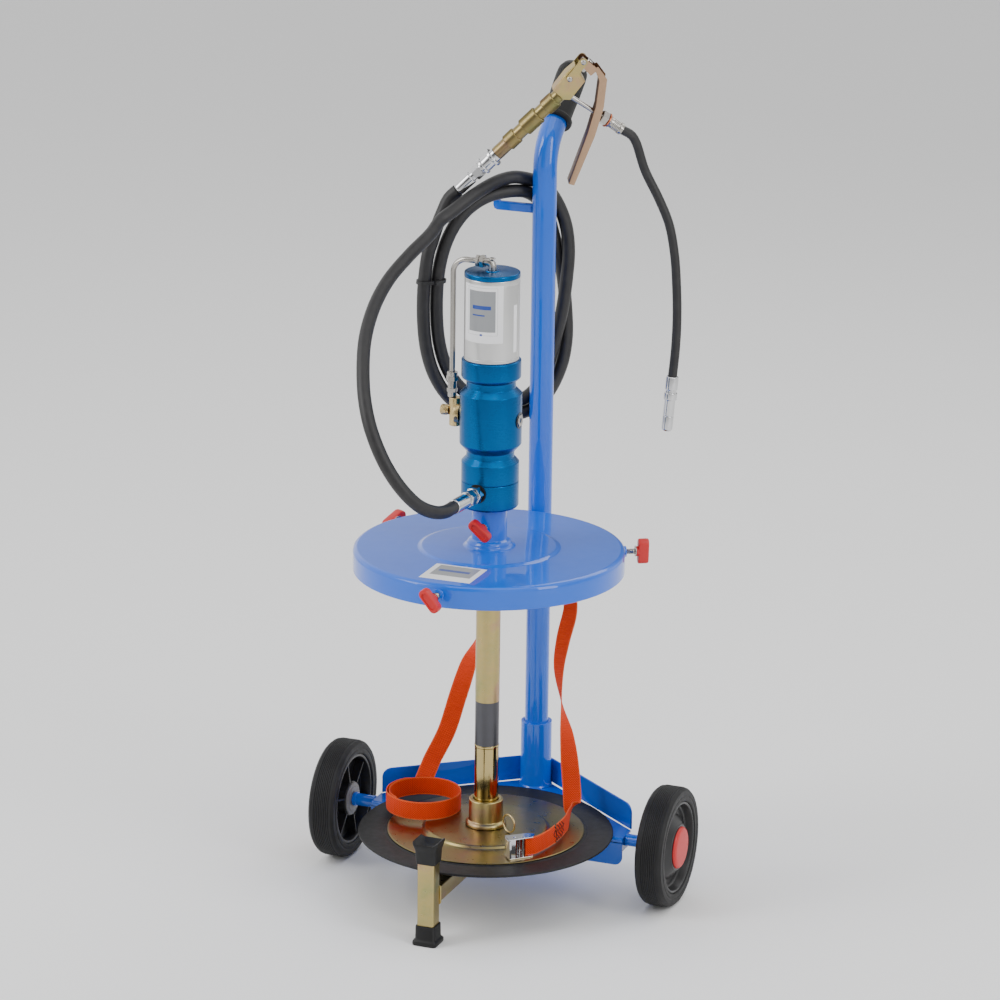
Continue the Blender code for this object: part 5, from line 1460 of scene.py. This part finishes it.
def gun_barrel():
    """The swivel and the knurled barrel."""
    reach = (GUN_HEAD - GUN_TAIL).length
    tail = GUN_FRAME @ Matrix.Translation((-reach, 0, 0)) @ Matrix.Rotation(math.pi / 2, 4, "Y")
    swivel = turned([
        (0, 0.0778), (0.0098, 0.0778), (0.0098, 0.0728), (0.0138, 0.0726), (0.0142, 0.0720),
        (0.0142, 0.0686), (0.0138, 0.0680), (0.0106, 0.0676), (0.0109, 0.0670), (0.0109, 0.0545),
        (0.0106, 0.0540), (0.0122, 0.0536), (0.0126, 0.0530), (0.0126, 0.0500), (0.0122, 0.0495),
        (0.0086, 0.0490), (0.0086, 0.0420), (0, 0.0420),
    ], 96, 0.0003)
    add(swivel, hexagon(0.0104, 0.0330, 0.0470, 10))
    add(swivel, turned([
        (0, 0.0335), (0.0070, 0.0335), (0.0070, 0.0285), (0.0088, 0.0280), (0.0093, 0.0272),
        (0.0093, 0.0030), (0.0089, 0.0010), (0.0082, 0), (0, 0),
    ], 96, 0.0003))
    piece(swivel, "gun_swivel_turned", CHROME, nodes=["gun_swivel"], matrix=tail)
    barrel = turned([
        (0.0096, 0.2028), (0.0098, 0.2024), (0.0098, 0.1955), (0.0101, 0.1740), (0.0100, 0.0785),
        (0.0050, 0.0785), (0.0050, 0.2028),
    ], 96, 0.0003)
    for low, high, outer in ((0.1000, 0.1190, 0.0121), (0.1330, 0.1620, 0.0130), (0.1750, 0.1950, 0.0123)):
        add(barrel, knurl(low, high, outer))
    piece(barrel, "gun_barrel_knurled", DULL_ZINC, nodes=["gun_barrel"], matrix=tail, smooth=12)


def gun_head():
    """The head with its plug, and the link strips on their rivets."""
    outline = [
        (-0.0305, -0.0150), (-0.0310, 0.0060), (-0.0240, 0.0140), (0.0100, 0.0090), (0.0135, -0.0030),
        (0.0180, -0.0080), (0.0180, -0.0190), (0.0000, -0.0200),
    ]
    half = GUN_HEAD_HALF
    head = plate(outline, -half, half, 0.0012, 3)
    piece(head, "gun_head_block", ZINC, nodes=["gun_head"], matrix=GUN_FRAME, smooth=50)
    plug = hexagon(0.0060, 0, 0.0150, 0)
    add(plug, turned([(0, 0.0200), (0.0040, 0.0200), (0.0048, 0.0188), (0.0048, 0.0140), (0, 0.0140)], 40))
    piece(plug, "gun_plug_hex", STEEL, matrix=GUN_FRAME @ facing((0.0170, -0.0050, 0), (1, 0, 0)))

    strip = half + GAP
    slope = math.degrees(math.atan2(GUN_PIVOT[1] - GUN_RIVET[1], GUN_PIVOT[0] - GUN_RIVET[0]))
    capsule = arc(GUN_PIVOT, 0.0058, slope - 90, slope + 90, 14) + arc(
        GUN_RIVET, 0.0058, slope + 90, slope + 270, 14
    )
    link = plate(capsule, strip, strip + 0.0016, 0.0003)
    add(link, plate(capsule, -strip - 0.0016, -strip, 0.0003))
    piece(link, "gun_link_strips", ZINC, nodes=["gun_link"], matrix=GUN_FRAME)
    rivets = bmesh.new()
    reach = strip + 0.0016
    for spot in (GUN_RIVET, GUN_PIVOT):
        rivet = turned([
            (0, reach + 0.0019), (0.0018, reach + 0.0017), (0.0033, reach + 0.0011), (0.0042, reach),
            (0.0028, reach - 0.0002), (0.0028, 0.0002 - reach), (0.0042, -reach),
            (0.0033, -reach - 0.0011), (0.0018, -reach - 0.0017), (0, -reach - 0.0019),
        ], 40, 0.0003)
        rivet.transform(Matrix.Translation((*spot, 0)))
        add(rivets, rivet)
    piece(rivets, "gun_rivets", STEEL, matrix=GUN_FRAME)


def gun_outlet():
    """The outlet pipe with its nuts and copper washer."""
    place = GUN_FRAME @ facing(GUN_OUTLET, GUN_OUTLET_RUN)
    end = GUN_OUTLET_LENGTH
    stem = turned([(0, 0.0645), (0.0034, 0.0640), (0.0034, 0.0012), (0, 0.0012)], 48, 0.0002)
    nut = [(0.0094, 0.0652), (0.0106, 0.0640), (0.0106, 0.0552), (0.0094, 0.0540), (0, 0.0540), (0, 0.0652)]
    add(stem, turned(nut, 6, 0.0003))
    ribs = [
        (0, end), (0.0068, end), (0.0084, end - 0.0003), (0.0090, end - 0.0010), (0.0090, end - 0.0052),
        (0.0086, end - 0.0060)
    ]
    z = end - 0.0068
    while z > 0.0735:
        ribs += [(0.0078, z), (0.0082, z - 0.0006), (0.0078, z - 0.0012)]
        z -= 0.0024
    ribs += [(0.0076, 0.0705), (0, 0.0705)]
    add(stem, turned(ribs, 72, 0.0002))
    add(stem, hexagon(0.0096, 0.0672, 0.0705, 20))
    piece(stem, "gun_outlet_turned", STEEL, nodes=["gun_outlet_pipe"], matrix=place)
    washer = sleeve(0.0108, 0, 0.0653, 0.0670, 64, 0.0003)
    piece(washer, "gun_outlet_washer", COPPER, matrix=place)


def gun_lever():
    """Trigger: a bent channel on two ears; its inside and the web's face toward the barrel are painted dark
    brown as painted shade.
    """
    line = [(0.0330, 0.0040), (0.0252, 0.0220), (-0.0056, 0.0469), (-0.0435, 0.0689), (-0.1165, 0.1053)]
    halves = [GUN_HEAD_HALF - 0.0003, GUN_LEVER_HALF, GUN_LEVER_HALF, GUN_LEVER_HALF, GUN_LEVER_HALF]
    depths = [0.0060, 0.0110, 0.0115, 0.0115, 0.0085]
    sheet = 0.0016
    points = [Vector(p) for p in line]
    loops = []
    for i, (here, half, depth) in enumerate(zip(points, halves, depths)):
        before = (here - points[max(i - 1, 0)]).normalized()
        after = (points[min(i + 1, len(points) - 1)] - here).normalized()
        along = (before + after).normalized()
        inward = Vector((along.y, -along.x)) / max(along.dot(after), along.dot(before))
        low, floor, fold = here + inward * depth, here + inward * sheet, here + inward * 0.0014
        inside = half - sheet
        loops.append([
            (*low, -half), (*fold, -half), (*(here + inward * 0.0004), -half + 0.0005),
            (*here, -half + 0.0016),
            (*here, half - 0.0016), (*(here + inward * 0.0004), half - 0.0005), (*fold, half), (*low, half),
            (*low, inside), (*floor, inside), (*floor, -inside), (*low, -inside),
        ])
    bm = through(loops)
    top = GUN_HEAD_HALF - 0.0003
    ear = [(p[0] + GUN_PIVOT[0], p[1] + GUN_PIVOT[1]) for p in
           arc((0, 0), 0.0060, 180, 330, 8) + [(0.0060, 0.0200), (0.0045, 0.0240), (-0.0080, 0.0230)]]
    for side in (-1, 1):
        low, high = sorted((side * top, side * (top - sheet)))
        add(bm, plate(ear, low, high, 0.0002))
    lever = piece(
        bm, "gun_lever_channel", IRIDESCENT, "gun_lever", ["gun_lever"], matrix=GUN_FRAME, smooth=40
    )
    lever.data.materials.append(CHANNEL_SHADE_BROWN)
    turn_back = GUN_FRAME.to_3x3().inverted()
    away = GUN_FRAME.inverted()
    # Painted shade: faces inside the channel and the web's face toward the barrel take the dark brown.
    for face in lever.data.polygons:
        inward = (turn_back @ face.normal).z * (away @ face.center).z < -1e-6
        if inward or (turn_back @ face.normal).y < -0.5:
            face.material_index = 1


def coupler():
    profile = [
        (0, 0), (0.0082, 0), (0.0092, 0.0012), (0.0092, 0.0190), (0.0088, 0.0198), (0.0078, 0.0202),
        (0.0078, 0.0238), (0.0092, 0.0243), (0.0096, 0.0250), (0.0096, 0.0340), (0.0092, 0.0346),
        (0.0080, 0.0350), (0.0080, 0.0580), (0.0077, 0.0584), (0.0077, 0.0592), (0.0080, 0.0596),
        (0.0080, 0.0785), (0.0066, 0.0810), (0.0037, 0.0812), (0.0035, 0.0800), (0.0035, 0.0690),
        (0, 0.0670),
    ]
    return piece(
        turned(profile, 72, 0.0003), "coupler_turned", CHROME, nodes=["whip_coupler"],
        matrix=facing(WHIP_END + WHIP_DOWN * GAP, WHIP_DOWN),
    )


def cable_tie():
    """A nylon tie that holds the coil's two strands together, with its square head."""
    centre = in_coil(-0.1270, 0.0, 0.8750)
    out, face = COIL_ACROSS, Vector((COIL_ACROSS.y, -COIL_ACROSS.x, 0))
    path = []
    for i in range(33):
        a = 2 * math.pi * i / 32
        stretch = 0.0110 * math.copysign(min(1.0, abs(math.cos(a)) * 1.6), math.cos(a))
        path.append((centre + out * (stretch + 0.0101 * math.cos(a)) + face * (0.0118 * math.sin(a)), a))
    loops = []
    for point, a in path[:-1]:
        outward = (out * math.cos(a) + face * math.sin(a)).normalized()
        lean = Vector((0, 0, 0.0024)) + out * 0.0003
        loops.append(
            [point + lean, point + lean + outward * 0.0012, point - lean + outward * 0.0012, point - lean]
        )
    bm = through(loops, True)
    head = plate(oblong(-0.0035, 0.0035, -0.0035, 0.0035), 0, 0.0050, 0.0008)
    head.transform(facing(centre + face * 0.0118 + out * 0.004, face))
    add(bm, head)
    piece(bm, "cable_tie", PLASTIC)


gun_barrel()
gun_head()
gun_outlet()
gun_lever()
TIP = coupler()
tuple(WHIP_START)
cable_tie()


# ---------------------------------------------------------------- studio
def studio():
    floor_stuff = Shade("studio_floor", (0.93, 0.93, 0.93), 0.0, 0.6)
    floor_stuff.rough(floor_stuff.noise(3.0), 0.55, 0.65)
    bm = bmesh.new()
    for x, y in ((-30, -30), (30, -30), (30, 30), (-30, 30)):
        bm.verts.new((x, y, 0))
    bm.faces.new(bm.verts)
    mesh = bpy.data.meshes.new("floor")
    bm.to_mesh(mesh)
    bm.free()
    mesh.materials.append(floor_stuff.made)
    floor = bpy.data.objects.new("floor", mesh)
    bpy.context.scene.collection.objects.link(floor)
    world = bpy.data.worlds.new("studio")
    world.use_nodes = True
    tree = world.node_tree
    back = tree.nodes["Background"]
    where = tree.nodes.new("ShaderNodeTexCoord")
    parts = tree.nodes.new("ShaderNodeSeparateXYZ")
    span = tree.nodes.new("ShaderNodeMapRange")
    span.inputs["From Min"].default_value = -1.0
    ramp = tree.nodes.new("ShaderNodeValToRGB")
    shades = ((0.0, 0.95), (0.22, 1.0), (0.38, 0.10), (0.56, 0.22), (0.76, 1.0), (1.0, 0.45))
    while len(ramp.color_ramp.elements) < len(shades):
        ramp.color_ramp.elements.new(0.5)
    for element, (place, shade) in zip(ramp.color_ramp.elements, shades):
        element.position = place
        element.color = (shade, shade, shade, 1)
    tree.links.new(where.outputs["Generated"], parts.inputs[0])
    tree.links.new(parts.outputs["X"], span.inputs["Value"])
    tree.links.new(span.outputs["Result"], ramp.inputs["Fac"])
    tree.links.new(ramp.outputs["Color"], back.inputs["Color"])
    back.inputs["Strength"].default_value = 1.45
    bpy.context.scene.world = world
    lights = (
        ((-2.4, -2.0, 2.6), (1.4, 2.4), 60.0),
        ((2.8, -1.0, 2.2), (1.0, 2.6), 40.0),
        ((0.2, 2.6, 3.0), (3.2, 1.4), 35.0),
        ((0.2, -0.8, 4.2), (2.6, 2.6), 35.0),
    )
    for i, (place, size, power) in enumerate(lights):
        data = bpy.data.lights.new(f"softbox_{i}", "AREA")
        data.shape = "RECTANGLE"
        data.size, data.size_y = size
        data.energy = power
        lamp = bpy.data.objects.new(f"softbox_{i}", data)
        lamp.location = place
        lamp.rotation_euler = (Vector((0, 0, 0.55)) - Vector(place)).to_track_quat("-Z", "Y").to_euler()
        bpy.context.scene.collection.objects.link(lamp)


studio()
